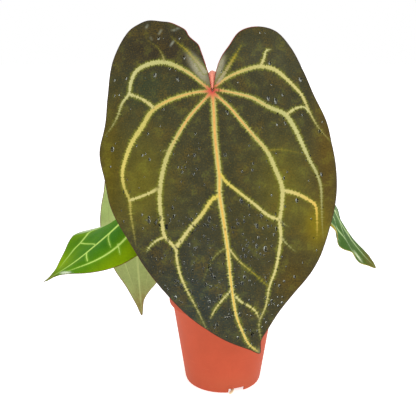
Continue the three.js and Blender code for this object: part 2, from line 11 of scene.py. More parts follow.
import bmesh
import bpy
import numpy as np
from mathutils import Matrix, Vector
from mathutils.geometry import delaunay_2d_cdt
from mathutils.kdtree import KDTree


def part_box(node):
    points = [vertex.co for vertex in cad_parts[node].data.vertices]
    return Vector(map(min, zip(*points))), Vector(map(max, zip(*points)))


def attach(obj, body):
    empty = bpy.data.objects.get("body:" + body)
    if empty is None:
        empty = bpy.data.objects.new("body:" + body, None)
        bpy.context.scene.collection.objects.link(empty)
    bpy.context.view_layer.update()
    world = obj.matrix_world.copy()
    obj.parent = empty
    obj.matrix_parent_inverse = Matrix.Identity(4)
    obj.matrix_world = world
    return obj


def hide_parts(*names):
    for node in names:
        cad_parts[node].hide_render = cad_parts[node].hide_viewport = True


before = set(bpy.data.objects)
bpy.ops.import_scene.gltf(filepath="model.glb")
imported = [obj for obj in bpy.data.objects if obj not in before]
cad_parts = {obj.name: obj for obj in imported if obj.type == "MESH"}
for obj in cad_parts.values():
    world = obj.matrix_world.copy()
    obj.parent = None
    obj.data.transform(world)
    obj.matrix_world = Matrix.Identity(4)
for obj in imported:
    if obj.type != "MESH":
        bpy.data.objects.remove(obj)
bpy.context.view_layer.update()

LOG = logging.getLogger("anthurium")
MM = 0.001

# Steps between a leaf's points along its outline, along its veins and over its panels, in millimetres
EDGE_STEP = 1.3
VEIN_STEP = 1.5
FIELD_STEP = 1.9
# How a blade rises from its veins, waves at its margin and thickens, in millimetres and shares
QUILT_REACH = 11.0
WAVE_REACH = 16.0
WAVE_CENTRE = 0.35
BLADE_HALF = 0.45
VEIN_RISE = 0.28
EDGE_ROUND = 0.9
# Side of the square cells that keep one of a leaf's free points each, and how far such a point stays
# from the points of the outline and of the veins' middles, in millimetres
POINT_CELL = 0.75
LINE_GAP = 0.62
# Rows of points beside a vein's middle, in its half widths
VEIN_ROWS = (-1.5, -0.9, -0.45, 0.45, 0.9, 1.5)
# How far each vein's streaks are moved along from those of the vein before, in millimetres
STREAK_SHIFT = 37
# The stem's middle, in millimetres behind the pot's axis
STEM_BACK = 10.0
# The surface points of a block of two by two by two cells
BLOCK = [(x, y, z) for x in (-1, 0, 1) for y in (-1, 0, 1) for z in (-1, 0, 1) if x or y or z]

Point = tuple[float, float]
Place = tuple[float, float, float]
Tint = tuple[int, int, int]


def linear(tint: Tint) -> tuple[float, float, float]:
    """Turn a screen colour into the linear colour that a shader takes.

    Args:
        tint: Red, green and blue, from 0 to 255.

    Returns:
        The same colour as linear levels from 0 to 1.
    """
    levels = [level / 255 for level in tint]
    return tuple(s / 12.92 if s <= 0.04045 else ((s + 0.055) / 1.055) ** 2.4 for s in levels)


def rgba(tint: Tint) -> tuple[float, float, float, float]:
    """The linear colour of a tint, with full alpha."""
    return (*linear(tint), 1.0)


class Value:
    """A number that changes over a surface. Its operators add Math nodes."""

    def __init__(self, paint: Paint, socket: bpy.types.NodeSocket) -> None:
        """Wrap a socket of a paint."""
        self.paint = paint
        self.socket = socket

    def _math(self, operation: str, *terms: Value | float) -> Value:
        """Add one Math node.

        Args:
            operation: The Math node's operation.
            terms: Its two inputs, in order.

        Returns:
            The node's result.
        """
        inputs = dict(zip(("Value", "Value_001"), terms))
        made = self.paint.node("ShaderNodeMath", {"operation": operation}, inputs)
        return Value(self.paint, made.outputs[0])

    def __add__(self, other: Value | float) -> Value:
        """self + other."""
        return self._math("ADD", self, other)

    def __radd__(self, other: float) -> Value:
        """other + self."""
        return self._math("ADD", other, self)

    def __sub__(self, other: Value | float) -> Value:
        """self - other."""
        return self._math("SUBTRACT", self, other)

    def __rsub__(self, other: float) -> Value:
        """other - self."""
        return self._math("SUBTRACT", other, self)

    def __mul__(self, other: Value | float) -> Value:
        """self * other."""
        return self._math("MULTIPLY", self, other)

    def __rmul__(self, other: float) -> Value:
        """other * self."""
        return self._math("MULTIPLY", other, self)

    def above(self, low: float, high: float) -> Value:
        """Rise smoothly from 0 to 1.

        Args:
            low: Where the result leaves 0.
            high: Where the result reaches 1.

        Returns:
            The smooth step.
        """
        made = self.paint.node(
            "ShaderNodeMapRange",
            {"interpolation_type": "SMOOTHSTEP"},
            {"Value": self, "From Min": low, "From Max": high},
        )
        return Value(self.paint, made.outputs["Result"])

    def below(self, low: float, high: float) -> Value:
        """Fall smoothly from 1 at low to 0 at high."""
        return 1.0 - self.above(low, high)


class Paint:
    """One material and the nodes that make it."""

    def __init__(self, name: str) -> None:
        """Start a material with a Principled shader.

        Args:
            name: The material's name.
        """
        self.material = bpy.data.materials.new(name)
        self.material.use_nodes = True
        self.tree = self.material.node_tree
        self.shader = self.tree.nodes["Principled BSDF"]

    def node(
        self, kind: str, settings: dict[str, Any] | None = None, inputs: dict[str, Any] | None = None
    ) -> bpy.types.Node:
        """Add a node.

        Args:
            kind: The node's type.
            settings: Its own settings, which are set first.
            inputs: Values or links for its sockets, by socket name or identifier.

        Returns:
            The new node.
        """
        made = self.tree.nodes.new(kind)
        for name, setting in (settings or {}).items():
            setattr(made, name, setting)
        self.feed(made, inputs or {})
        return made

    def feed(self, node: bpy.types.Node, inputs: dict[str, Any]) -> None:
        """Set or link a node's sockets.

        Args:
            node: The node.
            inputs: Values or links, by socket name or identifier.
        """
        for key, given in inputs.items():
            found = [s for s in node.inputs if s.identifier == key]
            found += [s for s in node.inputs if s.name == key]
            source = getattr(given, "socket", given)
            if isinstance(source, bpy.types.NodeSocket):
                self.tree.links.new(source, found[0])
            else:
                found[0].default_value = source

    def number(self, name: str) -> Value:
        """Read a number that the mesh holds at its points."""
        made = self.node("ShaderNodeAttribute", {"attribute_name": name})
        return Value(self, made.outputs["Fac"])

    def stored(self, name: str, output: str = "Color") -> bpy.types.NodeSocket:
        """Read a colour or a vector that the mesh holds at its points."""
        return self.node("ShaderNodeAttribute", {"attribute_name": name}).outputs[output]

    def place(self) -> bpy.types.NodeSocket:
        """The object's own coordinates, in metres."""
        return self.node("ShaderNodeTexCoord").outputs["Object"]

    def stretched(self, vector: bpy.types.NodeSocket, scale: Place) -> bpy.types.NodeSocket:
        """Coordinates multiplied by a scale on each axis."""
        inputs = {"Vector": vector, "Vector_001": scale}
        return self.node("ShaderNodeVectorMath", {"operation": "MULTIPLY"}, inputs).outputs["Vector"]

    def noise(self, vector: bpy.types.NodeSocket, scale: float, detail: float = 2.0) -> Value:
        """Smooth random levels, about 0.5 on average.

        Args:
            vector: The coordinates.
            scale: Lumps per unit of the coordinates.
            detail: How many finer layers are added.

        Returns:
            The level.
        """
        inputs = {"Vector": vector, "Scale": scale, "Detail": detail}
        return Value(self, self.node("ShaderNodeTexNoise", None, inputs).outputs["Fac"])

    def mix(
        self, factor: Value | float, first: Any, second: Any, blend: str = "MIX"
    ) -> bpy.types.NodeSocket:
        """Mix two colours.

        Args:
            factor: The second colour's share.
            first: A tint or a link.
            second: A tint or a link.
            blend: The Mix node's blend type.

        Returns:
            The mixed colour.
        """
        sides = [rgba(side) if isinstance(side, tuple) else side for side in (first, second)]
        made = self.node(
            "ShaderNodeMix",
            {"data_type": "RGBA", "blend_type": blend},
            {"Factor_Float": factor, "A_Color": sides[0], "B_Color": sides[1]},
        )
        return next(s for s in made.outputs if s.identifier == "Result_Color")

    def dimmed(self, colour: Any, light: Value) -> bpy.types.NodeSocket:
        """A colour made lighter or darker by a number about 1."""
        grey = self.node("ShaderNodeCombineColor", None, {"Red": light, "Green": light, "Blue": light})
        return self.mix(1.0, colour, grey.outputs["Color"], "MULTIPLY")

    def bump(self, height: Value, depth: float, strength: float = 1.0) -> bpy.types.NodeSocket:
        """A normal that follows a height, of which 1 is depth metres."""
        inputs = {"Height": height, "Distance": depth, "Strength": strength}
        return self.node("ShaderNodeBump", None, inputs).outputs["Normal"]

    def finish(self, **sockets: Any) -> bpy.types.Material:
        """Set the shader's sockets.

        Args:
            sockets: Values or links, by socket name with _ for a space.

        Returns:
            The finished material.
        """
        self.feed(self.shader, {name.replace("_", " "): given for name, given in sockets.items()})
        return self.material


def smooth_line(points: Sequence[Sequence[float]], step: float, closed: bool = False) -> np.ndarray:
    """Follow a centripetal Catmull-Rom curve at an even step.

    Args:
        points: What the curve passes through.
        step: The distance between two results, in the points' units.
        closed: Whether the curve returns to its start.

    Returns:
        The points, one a row. A closed curve doesn't repeat its first.
    """
    given = np.array(points, float)
    if closed:
        padded = np.vstack([given[-1], given, given[0], given[1]])
    else:
        padded = np.vstack([2 * given[0] - given[1], given, 2 * given[-1] - given[-2]])
    share = np.linspace(0, 1, 24, endpoint=False)[:, None]
    pieces = []
    for a, b, c, d in zip(padded, padded[1:], padded[2:], padded[3:]):
        before, here, after = (math.sqrt(np.linalg.norm(q - p)) for p, q in ((a, b), (b, c), (c, d)))
        leave = ((b - a) / before - (c - a) / (before + here) + (c - b) / here) * here
        arrive = ((c - b) / here - (d - b) / (here + after) + (d - c) / after) * here
        square = (3 * (c - b) - 2 * leave - arrive) * share**2
        pieces.append(b + leave * share + square + (2 * (b - c) + leave + arrive) * share**3)
    pieces.append(given[:1] if closed else given[-1:])
    dense = np.vstack(pieces)
    length = np.concatenate([[0], np.cumsum(np.linalg.norm(np.diff(dense, axis=0), axis=1))])
    count = max(2, round(length[-1] / step))
    wanted = np.linspace(0, length[-1], count + 1)
    spaced = np.stack([np.interp(wanted, length, dense[:, i]) for i in range(dense.shape[1])], axis=1)
    return spaced[:-1] if closed else spaced


def line_distance(at: np.ndarray, line: np.ndarray) -> tuple[np.ndarray, np.ndarray]:
    """Measure flat points against a flat line.

    Args:
        at: The points, one a row.
        line: The line's points.

    Returns:
        Each point's distance to the line, and how far along the line that is, from 0 to 1.
    """
    best = np.full(len(at), np.inf)
    share = np.zeros(len(at))
    for i, (start, end) in enumerate(zip(line, line[1:])):
        span = end - start
        along = np.clip(((at - start) @ span) / (span @ span), 0, 1)
        reach = np.linalg.norm(at - start - along[:, None] * span, axis=1)
        closer = reach < best
        best = np.where(closer, reach, best)
        share = np.where(closer, (i + along) / (len(line) - 1), share)
    return best, share


def inside(at: np.ndarray, outline: np.ndarray) -> np.ndarray:
    """Say which flat points are inside a closed outline.

    Args:
        at: The points, one a row.
        outline: The outline's points.

    Returns:
        True for each point inside.
    """
    odd = np.zeros(len(at), bool)
    for (ax, ay), (bx, by) in zip(outline, np.roll(outline, -1, axis=0)):
        if ay == by:
            continue
        spans = (ay > at[:, 1]) != (by > at[:, 1])
        odd ^= spans & (at[:, 0] < ax + (at[:, 1] - ay) * (bx - ax) / (by - ay))
    return odd


def tube_faces(rings: int, sides: int) -> list[list[int]]:
    """Join rings of points into a closed tube with a flat face at each end.

    Args:
        rings: How many rings there are.
        sides: How many points each ring has.

    Returns:
        The faces, as point numbers.
    """
    faces = []
    for i in range(rings - 1):
        for j in range(sides):
            a, b = i * sides + j, i * sides + (j + 1) % sides
            faces.append([a, b, b + sides, a + sides])
    last = (rings - 1) * sides
    return faces + [list(range(sides))[::-1], [last + j for j in range(sides)]]


def around(sides: int) -> np.ndarray:
    """Evenly spaced angles round a full turn."""
    return np.linspace(0, 2 * math.pi, sides, endpoint=False)


def add_piece(
    name: str,
    vertices: np.ndarray,
    faces: Sequence[Sequence[int]],
    materials: Sequence[bpy.types.Material],
    slots: Sequence[int] | None = None,
    smooth: bool = True,
) -> bpy.types.Object:
    """Make a mesh object that stands at the origin.

    Args:
        name: The piece's name.
        vertices: Its points in metres, one a row.
        faces: Its faces, as point numbers.
        materials: Its materials.
        slots: Each face's material, by number.
        smooth: Whether its faces are shaded smoothly.

    Returns:
        The object.
    """
    mesh = bpy.data.meshes.new(name)
    mesh.from_pydata(np.asarray(vertices).tolist(), [], [list(face) for face in faces])
    for material in materials:
        mesh.materials.append(material)
    if slots is not None:
        mesh.polygons.foreach_set("material_index", list(slots))
    mesh.polygons.foreach_set("use_smooth", [smooth] * len(mesh.polygons))
    mesh.update()
    made = bpy.data.objects.new(name, mesh)
    bpy.context.scene.collection.objects.link(made)
    return made


def write_layer(mesh: bpy.types.Mesh, name: str, values: np.ndarray) -> None:
    """Write numbers, vectors or colours to a mesh's points for a shader to read.

    Args:
        mesh: The mesh.
        name: The name that the shader reads.
        values: One number, one vector of three or one colour of four for each point.
    """
    width = 1 if values.ndim == 1 else values.shape[1]
    kinds = {1: ("FLOAT", "value"), 3: ("FLOAT_VECTOR", "vector"), 4: ("FLOAT_COLOR", "color")}
    kind, key = kinds[width]
    layer = mesh.attributes.new(name, kind, "POINT")
    layer.data.foreach_set(key, values.astype(np.float32).ravel())


def hand_over(piece: bpy.types.Object, node: str | None) -> bpy.types.Object:
    """Fix a piece to the frame and report it.

    Args:
        piece: The piece.
        node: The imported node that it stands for, if any.

    Returns:
        The piece.
    """
    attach(piece, "root")
    if node:
        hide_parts(node)
    LOG.info("%s: %d faces", piece.name, len(piece.data.polygons))
    return piece


def pot_axis() -> np.ndarray:
    """The point on the ground at the middle of the pot, in metres."""
    low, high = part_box("pot")
    return np.array([(low.x + high.x) / 2, (low.y + high.y) / 2, 0.0])


class VeinOrder(Enum):
    """How a vein stands out: its depth below the blade in millimetres, and its strength of colour."""

    RIB = (1.3, 1.0)
    BRANCH = (0.7, 0.95)
    THREAD = (0.15, 0.45)

    @property
    def depth(self) -> float:
        """How far it stands out below, in millimetres."""
        return self.value[0]

    @property
    def strength(self) -> float:
        """How strongly its colour shows, from 0 to 1."""
        return self.value[1]


GOLD: Tint = (204, 184, 78)
CREAM: Tint = (192, 182, 116)
SILVER: Tint = (186, 182, 122)
MOSS: Tint = (166, 164, 94)
ASH: Tint = (156, 152, 124)
OCHRE: Tint = (150, 132, 44)
ORANGE: Tint = (216, 156, 90)
AMBER: Tint = (214, 178, 78)
LIME: Tint = (196, 226, 112)
MINT: Tint = (190, 208, 150)
STRAW: Tint = (172, 178, 98)


@dataclass(frozen=True)
class Vein:
    """A vein on a flat leaf, in millimetres.

    Its half width is given at its start, at two fifths and at its end. Its colour goes from one tint to
    another. A warmer core line runs along its middle, as strong as core says, and ends at core_end.
    """

    line: tuple[Point, ...]
    half: tuple[float, float, float]
    order: VeinOrder = VeinOrder.RIB
    tints: tuple[Tint, Tint] = (MOSS, CREAM)
    core_tints: tuple[Tint, Tint] = (ORANGE, AMBER)
    core: float = 0.0
    core_end: float = 0.5
    fade: float = 0.8
    end_strength: float = 0.2


@dataclass(frozen=True)
class Patch:
    """A soft oval of another colour on a flat leaf, in millimetres and degrees.

    Its border is crisper where edge is more than 1.
    """

    centre: Point
    reach: Point
    tint: Tint
    weight: float = 0.8
    turn: float = 0.0
    edge: float = 1.0

    def share(self, flat: np.ndarray) -> np.ndarray:
        """Say how much the patch covers.

        Args:
            flat: The flat points, one a row.

        Returns:
            The patch's share of the colour at each point.
        """
        turn = math.radians(self.turn)
        off = flat - np.array(self.centre)
        x = off[:, 0] * math.cos(turn) + off[:, 1] * math.sin(turn)
        y = off[:, 1] * math.cos(turn) - off[:, 0] * math.sin(turn)
        square = (x / self.reach[0]) ** 2 + (y / self.reach[1]) ** 2
        return self.weight * np.exp(-(square**self.edge))


def patched(tint: Tint, patches: Sequence[Patch], flat: np.ndarray) -> np.ndarray:
    """Lay patches over a tint.

    Args:
        tint: The colour between the patches.
        patches: The patches, the last on top.
        flat: The flat points, one a row.

    Returns:
        The linear colour at each point.
    """
    colour = np.tile(np.array(linear(tint)), (len(flat), 1))
    for patch in patches:
        share = patch.share(flat)[:, None]
        colour = colour * (1 - share) + np.array(linear(patch.tint)) * share
    return colour


@dataclass(frozen=True)
class Wave:
    """The waving of a leaf's margin."""

    height: float
    count: int
    start: float


@dataclass(frozen=True)
class LeafForm:
    """A leaf drawn flat, in millimetres from its junction, and how it is bent and curled in space."""

    junction: Place
    heading: Place
    face: Place
    length: float
    half_width: float
    bend: float
    twist: float
    curl_right: Point
    curl_left: Point
    quilt: float
    wave: Wave
    outline: tuple[Point, ...]
    veins: tuple[Vein, ...]

    def directions(self) -> tuple[np.ndarray, np.ndarray, np.ndarray]:
        """Work out how the leaf lies.

        Returns:
            Unit vectors across the leaf, along it to the tip, and out of its upper face.
        """
        heading = np.array(self.heading) / np.linalg.norm(self.heading)
        face = np.array(self.face) - (np.array(self.face) @ heading) * heading
        face /= np.linalg.norm(face)
        return np.cross(face, heading), heading, face

    def place(self, flat: np.ndarray, lift: np.ndarray) -> np.ndarray:
        """Put flat points in space.

        Args:
            flat: The points, one a row, in millimetres.
            lift: How far each is lifted off the middle of the blade towards its upper face.

        Returns:
            The places in metres, one a row.
        """
        across, heading, face = self.directions()
        x, y = flat[:, 0], flat[:, 1]
        portion = np.clip(y / self.length, 0, 1)
        ends = [np.where(x < 0, left, right) for left, right in zip(self.curl_left, self.curl_right)]
        curl = np.radians(ends[0] + (ends[1] - ends[0]) * portion)
        curl = np.where(np.abs(curl) < 1e-6, 1e-6, curl) / self.half_width
        roll = curl * np.abs(x)
        sideways = np.sign(x) * (np.sin(roll) / curl + lift * np.sin(roll))
        upwards = (np.cos(roll) - 1) / curl + lift * np.cos(roll)
        twist = math.radians(self.twist) * portion
        width = sideways * np.cos(twist) + upwards * np.sin(twist)
        height = upwards * np.cos(twist) - sideways * np.sin(twist)
        bend = math.radians(self.bend) / self.length
        turn = bend * y
        reach = np.sin(turn) / bend + height * np.sin(turn)
        rise = (np.cos(turn) - 1) / bend + height * np.cos(turn)
        parts = ((width, across), (reach, heading), (rise, face))
        local = np.array(self.junction) + sum(np.outer(size, way) for size, way in parts)
        return local * MM + pot_axis()


@dataclass(frozen=True)
class Field:
    """What a flat leaf is like at each of its points. Distances are in millimetres."""

    margin: np.ndarray
    near: np.ndarray
    edge: np.ndarray
    middle: np.ndarray
    along: np.ndarray
    depth: np.ndarray
    strength: np.ndarray
    tint: np.ndarray
    core_tint: np.ndarray
    core: np.ndarray

    @classmethod
    def measure(cls, form: LeafForm, flat: np.ndarray) -> Field:
        """Measure flat points against a leaf's outline and veins.

        Args:
            form: The leaf.
            flat: The points, one a row.

        Returns:
            The field at those points.
        """
        margin, _ = line_distance(flat, closed_loop(form.outline))
        near = np.full(len(flat), np.inf)
        edge = np.full(len(flat), np.inf)
        names = ("middle", "along", "depth", "strength", "core")
        numbers = {name: np.zeros(len(flat)) for name in names}
        tints = {name: np.zeros((len(flat), 3)) for name in ("tint", "core_tint")}
        for i, vein in enumerate(form.veins):
            line = smooth_line(vein.line, VEIN_STEP)
            distance, share = line_distance(flat, line)
            half = np.interp(share, (0, 0.4, 1), vein.half)
            near = np.minimum(near, distance)
            wins = distance - half < edge
            edge = np.where(wins, distance - half, edge)
            ending = np.clip((share - vein.fade) / (1 - vein.fade), 0, 1)
            found = {
                "middle": distance / half,
                "along": share * VEIN_STEP * (len(line) - 1) + i * STREAK_SHIFT,
                "depth": vein.order.depth * (1 - 0.6 * share),
                "strength": vein.order.strength * (1 - (1 - vein.end_strength) * ending),
                "core": vein.core * np.clip((vein.core_end - share) / 0.15, 0, 1),
            }
            for name, values in found.items():
                numbers[name] = np.where(wins, values, numbers[name])
            for name, pair in (("tint", vein.tints), ("core_tint", vein.core_tints)):
                first, last = (np.array(linear(tint)) for tint in pair)
                blend = first + (last - first) * np.clip(share * 1.6, 0, 1)[:, None]
                tints[name] = np.where(wins[:, None], blend, tints[name])
        return cls(margin=margin, near=near, edge=edge, **numbers, **tints)


def closed_loop(points: Sequence[Point]) -> np.ndarray:
    """A leaf's smooth outline, with its first point again at the end."""
    edge = smooth_line(points, EDGE_STEP, closed=True)
    return np.vstack([edge, edge[:1]])


def middle_height(form: LeafForm, flat: np.ndarray, field: Field) -> np.ndarray:
    """How far the middle of the blade rises from its smooth sheet.

    Args:
        form: The leaf.
        flat: The points, one a row.
        field: The field at those points.

    Returns:
        The rise in millimetres.
    """
    quilt = form.quilt * (1 - np.exp(-field.near / QUILT_REACH))
    turn = np.arctan2(flat[:, 0], flat[:, 1] - form.length * WAVE_CENTRE)
    ripple = form.wave.height * np.sin(form.wave.count * turn + form.wave.start)
    return quilt + ripple * np.exp(-field.margin / WAVE_REACH)


@dataclass(frozen=True)
class Blade:
    """A leaf blade: one closed mesh with an upper and a lower face that meet at the margin."""

    name: str
    slot: str
    form: LeafForm
    panel: Tint
    patches: tuple[Patch, ...]
    upper: LeafFinish
    lower: UndersideFinish
    rim: Tint = (104, 58, 34)
    sinus: Tint = (104, 58, 34)
    sinus_reach: float = 40.0
    collar: Tint = (150, 140, 80)
    collar_reach: float = 9.0
    under_patches: tuple[Patch, ...] = ()

    def flat_points(self) -> tuple[np.ndarray, list[tuple[int, int]]]:
        """Spread flat points over the leaf.

        Returns:
            The points, and the lines between them that triangles must keep.
        """
        loop = closed_loop(self.form.outline)
        outline = loop[:-1]
        edges = [(i, (i + 1) % len(outline)) for i in range(len(outline))]
        kept = [outline]
        total = len(outline)
        rows = []
        for vein in self.form.veins:
            line = smooth_line(vein.line, VEIN_STEP)
            line = line[inside(line, outline) & (line_distance(line, loop)[0] > 1.0)]
            if len(line) < 3:
                continue
            edges += [(total + i, total + i + 1) for i in range(len(line) - 1)]
            kept.append(line)
            total += len(line)
            way = np.gradient(line, axis=0)
            side = np.stack([way[:, 1], -way[:, 0]], axis=1) / np.linalg.norm(way, axis=1)[:, None]
            half = np.interp(np.linspace(0, 1, len(line)), (0, 0.4, 1), vein.half)[:, None]
            rows += [line + side * half * reach for reach in VEIN_ROWS]
        low, high = outline.min(0), outline.max(0)
        down = FIELD_STEP * math.sqrt(0.75)
        for j in range(math.ceil((high[1] - low[1]) / down)):
            x = np.arange(low[0] + (j % 2) * FIELD_STEP / 2, high[0], FIELD_STEP)
            rows.append(np.stack([x, np.full(len(x), low[1] + j * down)], axis=1))
        free = np.vstack(rows)
        _, first = np.unique(np.floor(free / POINT_CELL), axis=0, return_index=True)
        free = free[np.sort(first)]
        free = free[inside(free, outline)]
        free = free[line_distance(free, loop)[0] > 0.5]
        fixed = np.vstack(kept)
        tree = KDTree(len(fixed))
        for i, (x, y) in enumerate(fixed):
            tree.insert((x, y, 0.0), i)
        tree.balance()
        clear = [tree.find((x, y, 0.0))[2] > LINE_GAP for x, y in free]
        return np.vstack([fixed, free[clear]]), edges

    def colours(self, flat: np.ndarray, field: Field) -> dict[str, np.ndarray]:
        """Mix the colours of the panels, the veins and the margin at flat points.

        Args:
            flat: The flat points, one a row.
            field: The field at those points.

        Returns:
            The linear colours with alpha, by the name that the shader reads.
        """
        near = np.exp(-((np.linalg.norm(flat, axis=1) / self.collar_reach) ** 2))[:, None]
        collar = np.array(linear(self.collar)) * near
        sinus = ((flat[:, 1] < -2) & (np.abs(flat[:, 0]) < self.sinus_reach))[:, None]
        found = {
            # The panel and underside colours hold the patches, among them painted highlights and painted
            # light through a leaf
            "panel": patched(self.panel, self.patches, flat),
            "under": patched(self.lower.panel, self.under_patches, flat),
            "vein_tint": field.tint * (1 - near) + collar,
            "core_tint": field.core_tint * (1 - near) + collar,
            "rim": np.where(sinus, np.array(linear(self.sinus)), np.array(linear(self.rim))),
        }
        return {name: np.hstack([colour, np.ones((len(flat), 1))]) for name, colour in found.items()}

    def build(self) -> bpy.types.Object:
        """Make the blade.

        Returns:
            The blade's object, dressed and fixed to the frame.
        """
        given, edges = self.flat_points()
        found = delaunay_2d_cdt([Vector(p) for p in given], edges, [], 1, 1e-4, False)
        flat = np.array([(v.x, v.y) for v in found[0]])
        triangles = np.array(found[2])
        triangles = triangles[inside(flat[triangles].mean(axis=1), closed_loop(self.form.outline)[:-1])]
        field = Field.measure(self.form, flat)
        on_edge = field.margin < 0.05
        rounded = np.clip(field.margin / EDGE_ROUND, 0, 1)
        half = BLADE_HALF * np.sqrt(1 - (1 - rounded) ** 2)
        height = middle_height(self.form, flat, field)
        crest = np.clip(1 - (field.middle / 1.25) ** 2, 0, 1) * np.clip(field.margin / 3, 0, 1)
        upper = self.form.place(flat, height + half + VEIN_RISE * crest * field.strength)
        lower = self.form.place(flat, height - half - field.depth * np.sqrt(crest))
        below = np.where(on_edge, np.arange(len(flat)), np.cumsum(~on_edge) - 1 + len(flat))
        vertices = np.vstack([upper, lower[~on_edge]])
        faces = np.vstack([triangles[:, ::-1], below[triangles]])
        slots = [0] * len(triangles) + [1] * len(triangles)
        materials = (self.upper.paint(f"{self.name}_upper"), self.lower.paint(f"{self.name}_lower"))
        piece = add_piece(f"{self.name}_skin", vertices, faces, materials, slots)
        order = np.concatenate([np.arange(len(flat)), np.flatnonzero(~on_edge)])
        layers = {
            "margin": field.margin,
            "edge": field.edge,
            "middle": field.middle,
            "strength": field.strength,
            "core": field.core,
            "streak": np.stack([field.along, field.edge * 0.3, field.along * 0], axis=1),
            "flat": np.hstack([flat, np.zeros((len(flat), 1))]),
            **self.colours(flat, field),
        }
        for name, values in layers.items():
            write_layer(piece.data, name, values[order])
        return hand_over(piece, self.name)


@dataclass(frozen=True)
class LeafFinish:
    """The upper face of a blade: mottled panels between feathered veins, inside a thin margin line."""

    fringe: Tint
    speck: Tint
    fringe_reach: float = 2.2
    fringe_share: float = 0.5
    feather: float = 1.4
    speck_share: float = 0.3
    blotch: Tint = (96, 74, 26)
    blotch_share: float = 0.0
    moss_share: float = 0.0
    margin_width: float = 1.0
    roughness: float = 0.5
    sheen: float = 0.25
    specular: float = 0.4
    grain: float = 0.5

    def paint(self, name: str) -> bpy.types.Material:
        """Make the material.

        Args:
            name: The material's name.

        Returns:
            The material.
        """
        paint = Paint(name)
        flat = paint.stored("flat", "Vector")
        cloud = paint.noise(flat, 0.09, 4.0)
        grain = paint.noise(flat, 0.6, 4.0)
        fine = paint.noise(flat, 2.6, 3.0)
        strength = paint.number("strength")
        streaks = paint.noise(paint.stored("streak", "Vector"), 0.62, 2.0)
        edge = paint.number("edge") + (streaks - 0.5) * self.feather * 2.0 + (fine - 0.5) * 1.6
        uneven = (cloud - 0.5) + (grain - 0.5) + (fine - 0.5) * 1.6
        light = 1.0 + uneven * self.grain
        colour = paint.dimmed(paint.stored("panel"), light)
        mottle = paint.noise(paint.stretched(flat, (1.0, 0.8, 1.0)), 0.055, 6.0).above(0.5, 0.64)
        colour = paint.mix(mottle * grain.above(0.35, 0.6) * self.blotch_share, colour, self.blotch)
        moss = cloud.above(0.52, 0.66) * grain.above(0.3, 0.6)
        colour = paint.mix(moss * self.moss_share, colour, self.fringe)
        specks = paint.noise(flat, 0.8, 2.0).above(0.54, 0.68)
        colour = paint.mix(specks * self.speck_share, colour, self.speck)
        fringe = edge.below(0.0, self.fringe_reach) * strength
        colour = paint.mix(fringe * self.fringe_share, colour, self.fringe)
        vein = edge.below(-0.5, 0.3) * strength
        middle = paint.number("middle")
        band = paint.mix(middle.above(0.5, 1.3) * 0.5, paint.stored("vein_tint"), self.fringe)
        core = (middle + (fine - 0.5) * 0.3).below(0.1, 0.7) * paint.number("core")
        band = paint.mix(core, band, paint.stored("core_tint"))
        band = paint.dimmed(band, 1.0 + (grain - 0.5) * 0.5 + (streaks - 0.5) * 0.3)
        colour = paint.mix(vein, colour, band)
        margin = paint.number("margin") + (grain - 0.5) * 0.5
        rim = margin.below(self.margin_width * 0.3, self.margin_width)
        colour = paint.mix(rim, colour, paint.stored("rim"))
        relief = grain * 0.5 + fine * 0.3 - vein * 0.25
        return paint.finish(
            Base_Color=colour,
            Roughness=(grain - 0.5) * 0.25 + self.roughness - vein * 0.08,
            Specular_IOR_Level=self.specular,
            Sheen_Weight=self.sheen,
            Sheen_Roughness=0.5,
            Normal=paint.bump(relief, 0.4 * MM, 0.9),
        )


@dataclass(frozen=True)
class UndersideFinish:
    """The lower face of a blade: paler and matt, with raised veins. Glow stands in for light through it."""

    panel: Tint
    vein: Tint
    glow: float = 0.0

    def paint(self, name: str) -> bpy.types.Material:
        """Make the material.

        Args:
            name: The material's name.

        Returns:
            The material.
        """
        paint = Paint(name)
        flat = paint.stored("flat", "Vector")
        cloud = paint.noise(flat, 0.08, 4.0)
        grain = paint.noise(flat, 0.7, 4.0)
        fine = paint.noise(flat, 3.5, 2.0)
        edge = paint.number("edge") + (grain - 0.5) * 0.8
        inputs = {"Vector": flat, "Scale": 0.2}
        cells = paint.node("ShaderNodeTexVoronoi", {"feature": "DISTANCE_TO_EDGE"}, inputs)
        net = (Value(paint, cells.outputs["Distance"]) + (grain - 0.5) * 0.1).below(0.0, 0.12)
        light = 1.0 + (grain - 0.5) * 0.35 + (fine - 0.5) * 0.2 + (cloud - 0.5) * 0.5
        colour = paint.dimmed(paint.stored("under"), light)
        colour = paint.mix(net * 0.25, colour, self.vein)
        colour = paint.mix(edge.below(-0.2, 0.5) * paint.number("strength"), colour, self.vein)
        colour = paint.mix(paint.number("margin").below(0.4, 1.1), colour, paint.stored("rim"))
        return paint.finish(
            Base_Color=colour,
            Roughness=0.62 + (grain - 0.5) * 0.2,
            Specular_IOR_Level=0.1,
            Emission_Color=colour,
            Emission_Strength=self.glow,
            Normal=paint.bump(grain * 0.4 + net * 0.4 + fine * 0.2, 0.3 * MM, 0.7),
        )


